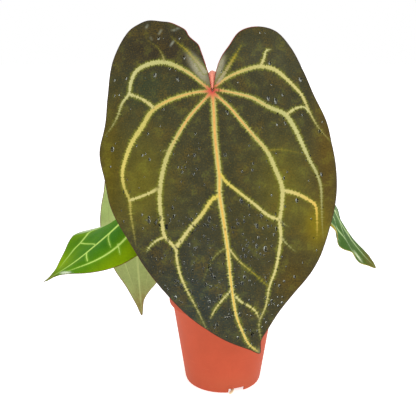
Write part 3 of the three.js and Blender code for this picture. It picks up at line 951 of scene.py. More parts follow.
@dataclass(frozen=True)
class StalkFinish:
    """The skin of a petiole, a root or the stem, coloured from foot to head."""

    foot: Tint
    middle: Tint
    head: Tint
    fleck: Tint
    roughness: float = 0.42
    streak: float = 0.3

    def paint(self, name: str) -> bpy.types.Material:
        """Make the material.

        Args:
            name: The material's name.

        Returns:
            The material.
        """
        paint = Paint(name)
        skin = paint.stored("skin", "Vector")
        along = paint.number("along")
        lines = paint.noise(paint.stretched(skin, (1.6, 1.6, 0.12)), 1.0, 3.0)
        spots = paint.noise(skin, 1.1, 3.0)
        colour = paint.mix(along.above(0.0, 0.45), self.foot, self.middle)
        colour = paint.mix(along.above(0.6, 1.0), colour, self.head)
        colour = paint.dimmed(colour, 1.0 + (lines - 0.5) * self.streak + (spots - 0.5) * 0.3)
        colour = paint.mix(spots.above(0.62, 0.7) * 0.5, colour, self.fleck)
        return paint.finish(
            Base_Color=colour,
            Roughness=self.roughness + (spots - 0.5) * 0.2,
            Specular_IOR_Level=0.45,
            Normal=paint.bump(lines * 0.6 + spots * 0.4, 0.25 * MM, 0.6),
        )


@dataclass(frozen=True)
class PlasticFinish:
    """Moulded pot plastic with a faint mottling, flow lines and scuffs."""

    body: Tint
    low_tint: Tint
    scuff: Tint

    def paint(self, name: str) -> bpy.types.Material:
        """Make the material.

        Args:
            name: The material's name.

        Returns:
            The material.
        """
        paint = Paint(name)
        place = paint.place()
        cloud = paint.noise(place, 45.0, 3.0)
        fine = paint.noise(place, 900.0, 3.0)
        flow = paint.noise(paint.stretched(place, (40.0, 40.0, 900.0)), 1.0, 2.0)
        parted = paint.node("ShaderNodeSeparateXYZ", None, {"Vector": place})
        height = Value(paint, parted.outputs["Z"])
        # Blotches of a darker, duller tint towards the bottom
        low = height.below(0.0, 0.03)
        colour = paint.dimmed(self.body, 1.0 + (cloud - 0.5) * 0.3 + (fine - 0.5) * 0.12)
        colour = paint.mix(low * cloud.above(0.3, 0.7) * 0.35, colour, self.low_tint)
        scratch = paint.noise(paint.stretched(place, (60.0, 60.0, 1400.0)), 1.0, 4.0).above(0.66, 0.72)
        colour = paint.mix(scratch * 0.25, colour, self.scuff)
        return paint.finish(
            Base_Color=colour,
            Roughness=0.56 + (cloud - 0.5) * 0.2 + (fine - 0.5) * 0.12,
            Specular_IOR_Level=0.07,
            Normal=paint.bump(fine * 0.5 + flow * 0.4, 0.06 * MM, 0.7),
        )


@dataclass(frozen=True)
class BarkFinish:
    """Bark, perlite and peat, each piece in its own stored colour."""

    dark: Tint

    def paint(self, name: str) -> bpy.types.Material:
        """Make the material.

        Args:
            name: The material's name.

        Returns:
            The material.
        """
        paint = Paint(name)
        place = paint.place()
        rough = paint.noise(place, 300.0, 5.0)
        plates = paint.noise(paint.stretched(place, (900.0, 250.0, 900.0)), 1.0, 3.0)
        colour = paint.dimmed(paint.stored("panel"), 1.0 + (rough - 0.5) * 0.7)
        colour = paint.mix(plates.above(0.56, 0.68) * 0.6, colour, self.dark)
        return paint.finish(
            Base_Color=colour,
            Roughness=0.86 + (rough - 0.5) * 0.2,
            Specular_IOR_Level=0.2,
            Normal=paint.bump(rough * 0.6 + plates * 0.6, 0.6 * MM, 0.9),
        )


@dataclass(frozen=True)
class PaperFinish:
    """A dry papery sheath with fine ribs and darker blotches."""

    body: Tint
    blotch: Tint

    def paint(self, name: str) -> bpy.types.Material:
        """Make the material.

        Args:
            name: The material's name.

        Returns:
            The material.
        """
        paint = Paint(name)
        skin = paint.stored("skin", "Vector")
        ribs = paint.noise(paint.stretched(skin, (2.2, 2.2, 0.08)), 1.0, 3.0)
        cloud = paint.noise(skin, 0.25, 4.0)
        colour = paint.dimmed(self.body, 1.0 + (ribs - 0.5) * 0.8)
        colour = paint.mix(cloud.above(0.5, 0.7) * 0.7, colour, self.blotch)
        return paint.finish(
            Base_Color=colour,
            Roughness=0.72 + (ribs - 0.5) * 0.2,
            Specular_IOR_Level=0.25,
            Normal=paint.bump(ribs, 0.4 * MM, 0.8),
        )


@dataclass(frozen=True)
class WaterFinish:
    """Clear water with a grey tint that is painted shade, darkening the drops like the dark leaf below
    them.
    """

    ior: float = 1.28
    painted_shade_tint: Tint = (190, 194, 184)

    def paint(self, name: str) -> bpy.types.Material:
        """Make the material.

        Args:
            name: The material's name.

        Returns:
            The material.
        """
        paint = Paint(name)
        ripple = paint.noise(paint.place(), 2500.0, 1.0)
        return paint.finish(
            # The grey base colour is painted shade that darkens the drops
            Base_Color=rgba(self.painted_shade_tint),
            Roughness=0.05 + ripple * 0.05,
            IOR=self.ior,
            Transmission_Weight=1.0,
            Normal=paint.bump(ripple, 0.03 * MM, 0.3),
        )


@dataclass(frozen=True)
class Swell:
    """A thicker stretch of a stalk."""

    at: float
    reach: float
    rise: float


@dataclass(frozen=True)
class Stalk:
    """A round stalk along a curve, in millimetres, with blunt ends."""

    path: tuple[Place, ...]
    radius: tuple[float, float, float]
    swells: tuple[Swell, ...] = ()
    sides: int = 24
    step: float = 1.3
    head_share: float = 0.46
    wobble: float = 0.03

    def rings(self) -> tuple[np.ndarray, np.ndarray, np.ndarray]:
        """Lay out the stalk.

        Returns:
            The ring centres, the radius of each, and how far along the stalk each is, from 0 to 1.
        """
        centres = smooth_line(self.path, self.step)
        share = np.linspace(0, 1, len(centres))
        size = np.interp(share, (0, 0.5, 1), self.radius)
        for swell in self.swells:
            size = size + swell.rise * np.exp(-(((share - swell.at) / swell.reach) ** 2))
        left = (1 - share) * self.step * (len(centres) - 1)
        cap = self.radius[2] * 1.2
        round_off = np.sqrt(1 - (1 - np.clip(left / cap, 0, 1)) ** 2)
        return centres, size * (self.head_share + (1 - self.head_share) * round_off), share

    def mesh(self) -> tuple[np.ndarray, list[list[int]], np.ndarray, np.ndarray]:
        """Make the stalk's faces.

        Returns:
            The points in millimetres, the faces, and each point's skin coordinates and share along.
        """
        centres, size, share = self.rings()
        tangent = np.gradient(centres, axis=0)
        tangent /= np.linalg.norm(tangent, axis=1)[:, None]
        normal = np.cross(tangent[0], (0.3, 1.0, 0.2))
        turn = around(self.sides)
        points, skin = [], []
        for i, centre in enumerate(centres):
            normal = normal - (normal @ tangent[i]) * tangent[i]
            normal /= np.linalg.norm(normal)
            other = np.cross(tangent[i], normal)
            uneven = 1 + self.wobble * (np.sin(3 * turn + i * 0.21) + np.sin(5 * turn - i * 0.37)) / 2
            reach = size[i] * uneven
            cosine, sine = np.cos(turn), np.sin(turn)
            points.append(centre + np.outer(cosine * reach, normal) + np.outer(sine * reach, other))
            skin.append(np.stack([cosine * size[i], sine * size[i], np.full(self.sides, i * self.step)]).T)
        faces = tube_faces(len(centres), self.sides)
        return np.vstack(points), faces, np.vstack(skin), np.repeat(share, self.sides)


def add_stalks(
    name: str, stalks: Sequence[Stalk], finishes: Sequence[StalkFinish], node: str
) -> bpy.types.Object:
    """Make one piece out of stalks.

    Args:
        name: The piece's name.
        stalks: The stalks.
        finishes: The finish of each stalk.
        node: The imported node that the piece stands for.

    Returns:
        The piece.
    """
    vertices, faces, skins, shares, slots = [], [], [], [], []
    total = 0
    for i, stalk in enumerate(stalks):
        points, found, skin, share = stalk.mesh()
        faces += [[total + corner for corner in face] for face in found]
        slots += [i] * len(found)
        vertices.append(points * MM + pot_axis())
        skins.append(skin)
        shares.append(share)
        total += len(points)
    materials = [finish.paint(f"{name}_{i}") for i, finish in enumerate(finishes)]
    piece = add_piece(name, np.vstack(vertices), faces, materials, slots)
    write_layer(piece.data, "skin", np.vstack(skins))
    write_layer(piece.data, "along", np.concatenate(shares))
    return hand_over(piece, node)


@dataclass(frozen=True)
class Trunk:
    """The upright stem, ringed with leaf scars, in millimetres."""

    centre: Point = (0.0, STEM_BACK)
    foot: float = 34.0
    top: float = 95.0
    radius: float = 8.0
    crown: float = 11.5
    scars: int = 5
    scar_rise: float = 0.9
    sides: int = 48
    rows: int = 70

    def mesh(self) -> tuple[np.ndarray, list[list[int]], np.ndarray, np.ndarray]:
        """Make the trunk's faces.

        Returns:
            The points in millimetres, the faces, and each point's skin coordinates and share along.
        """
        share = np.linspace(0, 1, self.rows)
        turn = around(self.sides)
        size = self.radius + (self.crown - self.radius) * share**2
        phase = (share * self.scars) % 1
        size = size + self.scar_rise * np.exp(-(((phase - 0.5) / 0.1) ** 2))
        size = size * np.sqrt(1 - np.clip((share - 0.9) / 0.1, 0, 1) ** 2 * 0.72)
        tilt = 1.6 * np.cos(turn[None, :] + np.floor(share * self.scars)[:, None] * 2.4)
        uneven = 1 + 0.025 * np.sin(4 * turn[None, :] + share[:, None] * 21)
        reach = size[:, None] * uneven
        height = self.foot + (self.top - self.foot) * share[:, None]
        height = height + tilt * np.sin(math.pi * share)[:, None]
        points = np.stack([
            self.centre[0] + reach * np.cos(turn),
            self.centre[1] + reach * np.sin(turn),
            np.broadcast_to(height, reach.shape),
        ], axis=-1)
        skin = points - np.array([*self.centre, 0.0])
        faces = tube_faces(self.rows, self.sides)
        return points.reshape(-1, 3), faces, skin.reshape(-1, 3), np.repeat(share, self.sides)


@dataclass(frozen=True)
class Cataphyll:
    """A dry pointed sheath against the crown, in millimetres and degrees."""

    name: str
    turn: float
    height: float
    lean: float
    finish: PaperFinish
    foot: float = 88.5
    span: float = 56.0
    point: float = 80.0
    distance: float = 12.9
    thickness: float = 0.7
    steps: int = 28

    def build(self) -> bpy.types.Object:
        """Make the sheath.

        Returns:
            The sheath's object.
        """
        t, u = np.meshgrid(
            np.linspace(0, 1, self.steps), np.linspace(-0.5, 0.5, self.steps), indexing="ij"
        )
        span = math.radians(self.span) * np.cos(t * math.radians(self.point))
        ribs = 0.16 * np.cos(u * 2 * math.pi * 7)
        ragged = 1 - 0.05 * t * (np.sin(u * 31) + np.sin(u * 53 + 1)) ** 2
        curl = 1.1 * t * (2 * u) ** 2
        layers, skins = [], []
        for outward in (0.0, self.thickness):
            spread = math.tan(math.radians(self.lean)) * self.height * t * t
            reach = self.distance + outward + spread + ribs * (1 - t * 0.5) - curl
            angle = math.radians(self.turn) + span * u
            up = self.foot + self.height * t * ragged
            sheet = [reach * np.cos(angle), STEM_BACK + reach * np.sin(angle), up]
            skin = [span * u * self.distance, t * 0, t * self.height]
            layers.append(np.stack(sheet, axis=-1).reshape(-1, 3))
            skins.append(np.stack(skin, axis=-1).reshape(-1, 3))
        layer = self.steps**2
        faces = []
        for i in range(self.steps - 1):
            for j in range(self.steps - 1):
                a = i * self.steps + j
                quad = [a, a + 1, a + 1 + self.steps, a + self.steps]
                faces += [quad[::-1], [corner + layer for corner in quad]]
        top = self.steps * (self.steps - 1)
        for j in range(self.steps - 1):
            left, right = j * self.steps, j * self.steps + self.steps - 1
            sides = [(j + 1, j), (top + j, top + j + 1)]
            sides += [(left, left + self.steps), (right + self.steps, right)]
            faces += [[q, p, p + layer, q + layer] for p, q in sides]
        points = np.vstack(layers) * MM + pot_axis()
        paper = self.finish.paint(f"{self.name}_paper")
        piece = add_piece(f"{self.name}_sheath", points, faces, [paper])
        write_layer(piece.data, "skin", np.vstack(skins))
        return hand_over(piece, self.name)


@dataclass(frozen=True)
class Pot:
    """The nursery pot: one turned wall, cut by foot notches, slots and drains.

    Sizes are in millimetres and degrees. A notch and the slot behind it are given by their reach from the
    axis, their width and their height.
    """

    finish: PlasticFinish
    height: float = 92.0
    foot: float = 36.8
    shoulder: float = 48.8
    rim: float = 52.0
    rim_height: float = 11.0
    wall: float = 1.3
    floor: float = 5.0
    sides: int = 144
    bevel: float = 0.3
    notches: int = 3
    first_notch: float = -70.0
    notch: tuple[float, float, float, float] = (32.8, 46.8, 16.0, 4.6)
    slot: tuple[float, float, float, float] = (25.4, 33.4, 11.2, 10.0)
    drains: int = 4
    drain_reach: float = 17.0
    drain_radius: float = 3.6

    def outer(self, z: float) -> float:
        """The wall's outer radius at a height."""
        return self.foot + (self.shoulder - self.foot) * z / (self.height - self.rim_height)

    def profile(self) -> list[Point]:
        """Lay out the wall's section.

        Returns:
            The radius and height of each corner, from the floor's underside round to its top.
        """
        shoulder = self.height - self.rim_height
        top = self.floor + self.wall
        return [
            (self.outer(self.floor) - self.wall, self.floor),
            (self.foot - self.wall - 1.0, 0.0),
            (self.foot - 1.0, 0.0),
            (self.foot - 0.3, 0.4),
            (self.foot, 1.3),
            (self.outer(2.6), 2.6),
            (self.outer(40.0), 40.0),
            (self.shoulder, shoulder),
            (self.rim - 0.5, shoulder + 0.4),
            (self.rim, shoulder + 1.0),
            (self.rim, self.height - 1.0),
            (self.rim - 0.2, self.height - 0.3),
            (self.rim - 0.7, self.height),
            (self.rim - 1.3, self.height - 0.1),
            (self.rim - 1.6, self.height - 0.5),
            (self.outer(shoulder + 2) - self.wall + 0.5, shoulder + 2.0),
            (self.outer(40.0) - self.wall, 40.0),
            (self.outer(top + 2) - self.wall, top + 2.0),
            (self.outer(top) - self.wall - 2.0, top),
        ]

    def cutters(self) -> bpy.types.Object:
        """Make what the wall is cut by.

        Returns:
            The notches, slots and drains as one object.
        """
        bm = bmesh.new()
        for i in range(self.notches):
            turn = Matrix.Rotation(math.radians(self.first_notch + 360 / self.notches * i), 4, "Z")
            for start, end, width, height in (self.notch, self.slot):
                size = Matrix.Diagonal((end - start, width, height * 2, 1.0))
                middle = Matrix.Translation(((start + end) / 2, 0, 0))
                bmesh.ops.create_cube(bm, size=1, matrix=turn @ middle @ size)
        for i in range(self.drains):
            turn = Matrix.Rotation(2 * math.pi / self.drains * i, 4, "Z")
            bmesh.ops.create_cone(
                bm,
                cap_ends=True,
                segments=32,
                radius1=self.drain_radius,
                radius2=self.drain_radius,
                depth=(self.floor + self.wall) * 2,
                matrix=turn @ Matrix.Translation((self.drain_reach, 0, self.floor)),
            )
        bm.transform(Matrix.Translation(pot_axis()) @ Matrix.Scale(MM, 4))
        mesh = bpy.data.meshes.new("pot_cutters")
        bm.to_mesh(mesh)
        bm.free()
        made = bpy.data.objects.new("pot_cutters", mesh)
        bpy.context.scene.collection.objects.link(made)
        return made

    def build(self) -> bpy.types.Object:
        """Turn the wall, cut it and soften its edges.

        Returns:
            The pot's object.
        """
        profile = self.profile()
        turn = around(self.sides)
        rings = [
            np.stack([r * np.cos(turn), r * np.sin(turn), np.full(self.sides, z)], axis=1)
            for r, z in profile
        ]
        faces = tube_faces(len(profile), self.sides)
        points = np.vstack(rings) * MM + pot_axis()
        rough = add_piece("pot_rough", points, faces, [self.finish.paint("pot_plastic")])
        cutters = self.cutters()
        cut = rough.modifiers.new("cut", "BOOLEAN")
        cut.operation = "DIFFERENCE"
        cut.object = cutters
        soften = rough.modifiers.new("soften", "BEVEL")
        soften.width = self.bevel * MM
        soften.segments = 2
        soften.limit_method = "ANGLE"
        soften.angle_limit = math.radians(50)
        shown = rough.evaluated_get(bpy.context.evaluated_depsgraph_get())
        mesh = bpy.data.meshes.new_from_object(shown)
        for spent in (rough, cutters):
            bpy.data.objects.remove(spent)
        mesh.name = "pot_wall"
        mesh.set_sharp_from_angle(angle=math.radians(38))
        piece = bpy.data.objects.new("pot_wall", mesh)
        bpy.context.scene.collection.objects.link(piece)
        return hand_over(piece, "pot")


@dataclass(frozen=True)
class Mix:
    """The potting mix: a plug of peat under loose bark chips, perlite and fibres, in millimetres."""

    finish: BarkFinish
    pot: Pot
    level: float = 77.0
    bottom: float = 6.6
    gap: float = 0.4
    stem_clear: float = 13.5
    chips: int = 230
    grains: int = 90
    fibres: int = 60
    barks: tuple[Tint, ...] = ((112, 78, 52), (88, 60, 42), (132, 96, 64), (70, 50, 38))
    perlite: Tint = (214, 208, 196)
    fibre: Tint = (146, 112, 72)
    peat: Tint = (58, 44, 34)

    def plug(self) -> tuple[np.ndarray, list[list[int]]]:
        """Make the plug that the loose pieces lie on.

        Returns:
            Its points and its faces.
        """
        sides, rings = 96, 30
        turn = around(sides)
        wall = self.pot.outer(self.level) - self.pot.wall - self.gap
        rows = []
        for i in range(rings, 0, -1):
            radius = wall * i / rings
            x, y = radius * np.cos(turn), radius * np.sin(turn)
            bumps = 0.9 * np.sin(x * 0.55 + 1.3) * np.cos(y * 0.47) + 0.6 * np.sin(x * 1.3 - y * 0.9)
            rows.append(np.stack([x, y, self.level + bumps - 1.2 * (i / rings) ** 6], axis=1))
        for z, inward in ((self.bottom + 3, self.gap), (self.bottom, self.gap + 3)):
            radius = self.pot.outer(z) - self.pot.wall - inward
            ring = [radius * np.cos(turn), radius * np.sin(turn), np.full(sides, z)]
            rows.insert(0, np.stack(ring, axis=1))
        return np.vstack(rows), tube_faces(len(rows), sides)

    def lump(self, random: np.random.Generator, size: Place, level: float) -> np.ndarray:
        """Put the corners of a worn block somewhere on the plug.

        Args:
            random: The stream of numbers.
            size: Its length, breadth and depth.
            level: The height of its middle.

        Returns:
            Its 26 surface points.
        """
        grid = np.array(BLOCK, float)
        worn = grid / (1 + 0.13 * (np.abs(grid).sum(axis=1, keepdims=True) - 1))
        worn = worn * (np.array(size) / 2) + random.normal(0, 0.06, grid.shape) * min(size)
        yaw, pitch, roll = random.uniform(0, 2 * math.pi), *random.normal(0, 0.3, 2)
        spin = Matrix.Rotation(yaw, 3, "Z") @ Matrix.Rotation(pitch, 3, "Y")
        spin = spin @ Matrix.Rotation(roll, 3, "X")
        reach = self.pot.outer(self.level) - self.pot.wall - 1.0 - size[0] * 0.55
        while True:
            angle, distance = random.uniform(0, 2 * math.pi), math.sqrt(random.uniform()) * reach
            x, y = distance * math.cos(angle), distance * math.sin(angle)
            if math.hypot(x, y - STEM_BACK) > self.stem_clear:
                break
        return worn @ np.array(spin).T + np.array([x, y, level])

    def build(self) -> bpy.types.Object:
        """Make the mix.

        Returns:
            The mix's object.
        """
        random = np.random.default_rng(11)
        index = {corner: i for i, corner in enumerate(BLOCK)}
        block = []
        for axis in range(3):
            for side in (-1, 1):
                for p in (-1, 0):
                    for q in (-1, 0):
                        corners = [(p, q), (p + 1, q), (p + 1, q + 1), (p, q + 1)]
                        spots = [index[tuple(np.insert(corner, axis, side))] for corner in corners]
                        flip = (side > 0) == (axis == 1)
                        block.append(spots[::-1] if flip else spots)
        vertices, faces = self.plug()
        tints = [np.tile(linear(self.peat), (len(vertices), 1))]
        vertices = [vertices]
        total = len(vertices[0])
        loose = []
        for _ in range(self.chips):
            length = random.uniform(5, 13)
            size = (length, length * random.uniform(0.45, 0.8), random.uniform(1.6, 3.4))
            loose.append((size, self.level + random.uniform(-0.6, 1.9), self.barks[random.integers(4)]))
        for _ in range(self.grains):
            length = random.uniform(1.8, 3.8)
            size = (length, length * 0.85, length * 0.75)
            loose.append((size, self.level + random.uniform(1.0, 3.0), self.perlite))
        for _ in range(self.fibres):
            size = (random.uniform(8, 18), 0.45, 0.45)
            loose.append((size, self.level + random.uniform(2.2, 3.4), self.fibre))
        for size, level, tint in loose:
            points = self.lump(random, size, level)
            faces += [[total + corner for corner in face] for face in block]
            shade = random.uniform(0.7, 1.15)
            tints.append(np.tile(np.array(linear(tint)) * shade, (len(points), 1)))
            vertices.append(points)
            total += len(points)
        points = np.vstack(vertices) * MM + pot_axis()
        piece = add_piece("mix_chips", points, faces, [self.finish.paint("mix_bark")], smooth=False)
        colours = np.vstack(tints)
        write_layer(piece.data, "panel", np.hstack([colours, np.ones((len(colours), 1))]))
        return hand_over(piece, "potting_mix")


@dataclass(frozen=True)
class Drops:
    """Water drops that lie on a blade's upper face, in millimetres."""

    form: LeafForm
    finish: WaterFinish
    count: int = 430
    low: tuple[Point, Point] = ((-62.0, 110.0), (62.0, 228.0))
    sides: int = 12

    def build(self) -> bpy.types.Object:
        """Scatter the drops.

        Returns:
            The object of all the drops.
        """
        random = np.random.default_rng(5)
        loop = closed_loop(self.form.outline)
        spots = random.uniform((-100, -60), (108, 232), (self.count * 2, 2))
        near = random.uniform(*self.low, (self.count * 3, 2))
        spots = np.vstack([near, spots])
        spots = spots[inside(spots, loop[:-1]) & (line_distance(spots, loop)[0] > 3)]
        random.shuffle(spots)
        spots = spots[: self.count]
        size = np.clip(random.lognormal(-0.35, 0.4, len(spots)), 0.35, 1.6)
        stretch = random.uniform(1.0, 1.9, len(spots))
        turn = around(self.sides)
        rings = ((1.0, 0.0), (0.9, 0.1), (0.7, 0.19), (0.4, 0.26))
        flat, lift, faces = [], [], []
        for (x, y), radius, longer in zip(spots, size, stretch):
            start = len(lift)
            for share, rise in rings:
                for angle in turn:
                    sag = 1 + 0.18 * math.sin(angle)
                    across = radius * share * math.cos(angle)
                    down = radius * share * longer * sag * math.sin(angle)
                    flat.append((x + across, y + down))
                    lift.append(rise * radius)
            flat.append((x, y))
            lift.append(0.29 * radius)
            for i in range(len(rings) - 1):
                for j in range(self.sides):
                    a, b = start + i * self.sides + j, start + i * self.sides + (j + 1) % self.sides
                    faces.append([a, a + self.sides, b + self.sides, b])
            last = start + (len(rings) - 1) * self.sides
            for j in range(self.sides):
                faces.append([last + j, len(lift) - 1, last + (j + 1) % self.sides])
            faces.append([start + j for j in range(self.sides)])
        spread = np.array(flat)
        height = middle_height(self.form, spread, Field.measure(self.form, spread)) + BLADE_HALF + 0.02
        vertices = self.form.place(spread, height + np.array(lift))
        piece = add_piece("leaf_drops", vertices, faces, [self.finish.paint("water")])
        return hand_over(piece, None)


@dataclass(frozen=True)
class Studio:
    """A white room, its lights and the camera."""

    camera_from: Place = (-14.7, -673.0, 372.5)
    forward: Place = (0.0, 0.9588, -0.2840)
    up: Place = (0.0, 0.2840, 0.9588)
    lens: float = 65.0
    room: float = 1.0
    floor_glow: float = 0.75
    floor_reach: float = 3.0
    floor_drop: float = 0.0005

    def build(self) -> None:
        """Set up the room, the lights and the camera."""
        scene = bpy.context.scene
        scene.view_settings.view_transform = "Standard"
        scene.view_settings.look = "None"
        world = bpy.data.worlds.new("white_room")
        world.use_nodes = True
        background = world.node_tree.nodes["Background"]
        background.inputs["Color"].default_value = (1.0, 1.0, 1.0, 1.0)
        background.inputs["Strength"].default_value = self.room
        scene.world = world
        self.floor()
        self.light("key", (0.6, -1.0, 0.9), (0.0, 0.0, 0.15), 0.35, 3.0)
        self.light("fill", (-0.7, -0.8, 1.0), (0.0, 0.0, 0.2), 0.3, 0.3)
        forward, up = Vector(self.forward), Vector(self.up)
        turned = Matrix((forward.cross(up), up, -forward)).transposed().to_4x4()
        lens = bpy.data.cameras.new("camera")
        lens.lens = self.lens
        lens.sensor_width = 36.0
        lens.clip_start = 0.01
        camera = bpy.data.objects.new("camera", lens)
        stand = Vector(self.camera_from) * MM + Vector(pot_axis())
        camera.matrix_world = Matrix.Translation(stand) @ turned
        scene.collection.objects.link(camera)
        scene.camera = camera

    def floor(self) -> None:
        """Lay a near-white floor that fades into the room."""
        paint = Paint("floor_white")
        grain = paint.noise(paint.place(), 60.0, 2.0)
        white = paint.dimmed((240, 240, 240), 1.0 + (grain - 0.5) * 0.02)
        material = paint.finish(
            Base_Color=white, Roughness=0.9, Emission_Color=white, Emission_Strength=self.floor_glow
        )
        way = ((-1, -1), (1, -1), (1, 1), (-1, 1))
        corners = np.array([(x * self.floor_reach, y * self.floor_reach, -self.floor_drop) for x, y in way])
        floor = add_piece("floor", corners, [[0, 1, 2, 3]], [material])

    def light(self, name: str, place: Place, aim: Place, size: float, power: float) -> None:
        """Hang a square light.

        Args:
            name: Its name.
            place: Where it hangs, in metres.
            aim: What it points at.
            size: Its side.
            power: Its power in watts.
        """
        lamp = bpy.data.lights.new(name, "AREA")
        lamp.size = size
        lamp.energy = power
        made = bpy.data.objects.new(name, lamp)
        turned = (Vector(aim) - Vector(place)).to_track_quat("-Z", "Y").to_matrix().to_4x4()
        made.matrix_world = Matrix.Translation(place) @ turned
        bpy.context.scene.collection.objects.link(made)


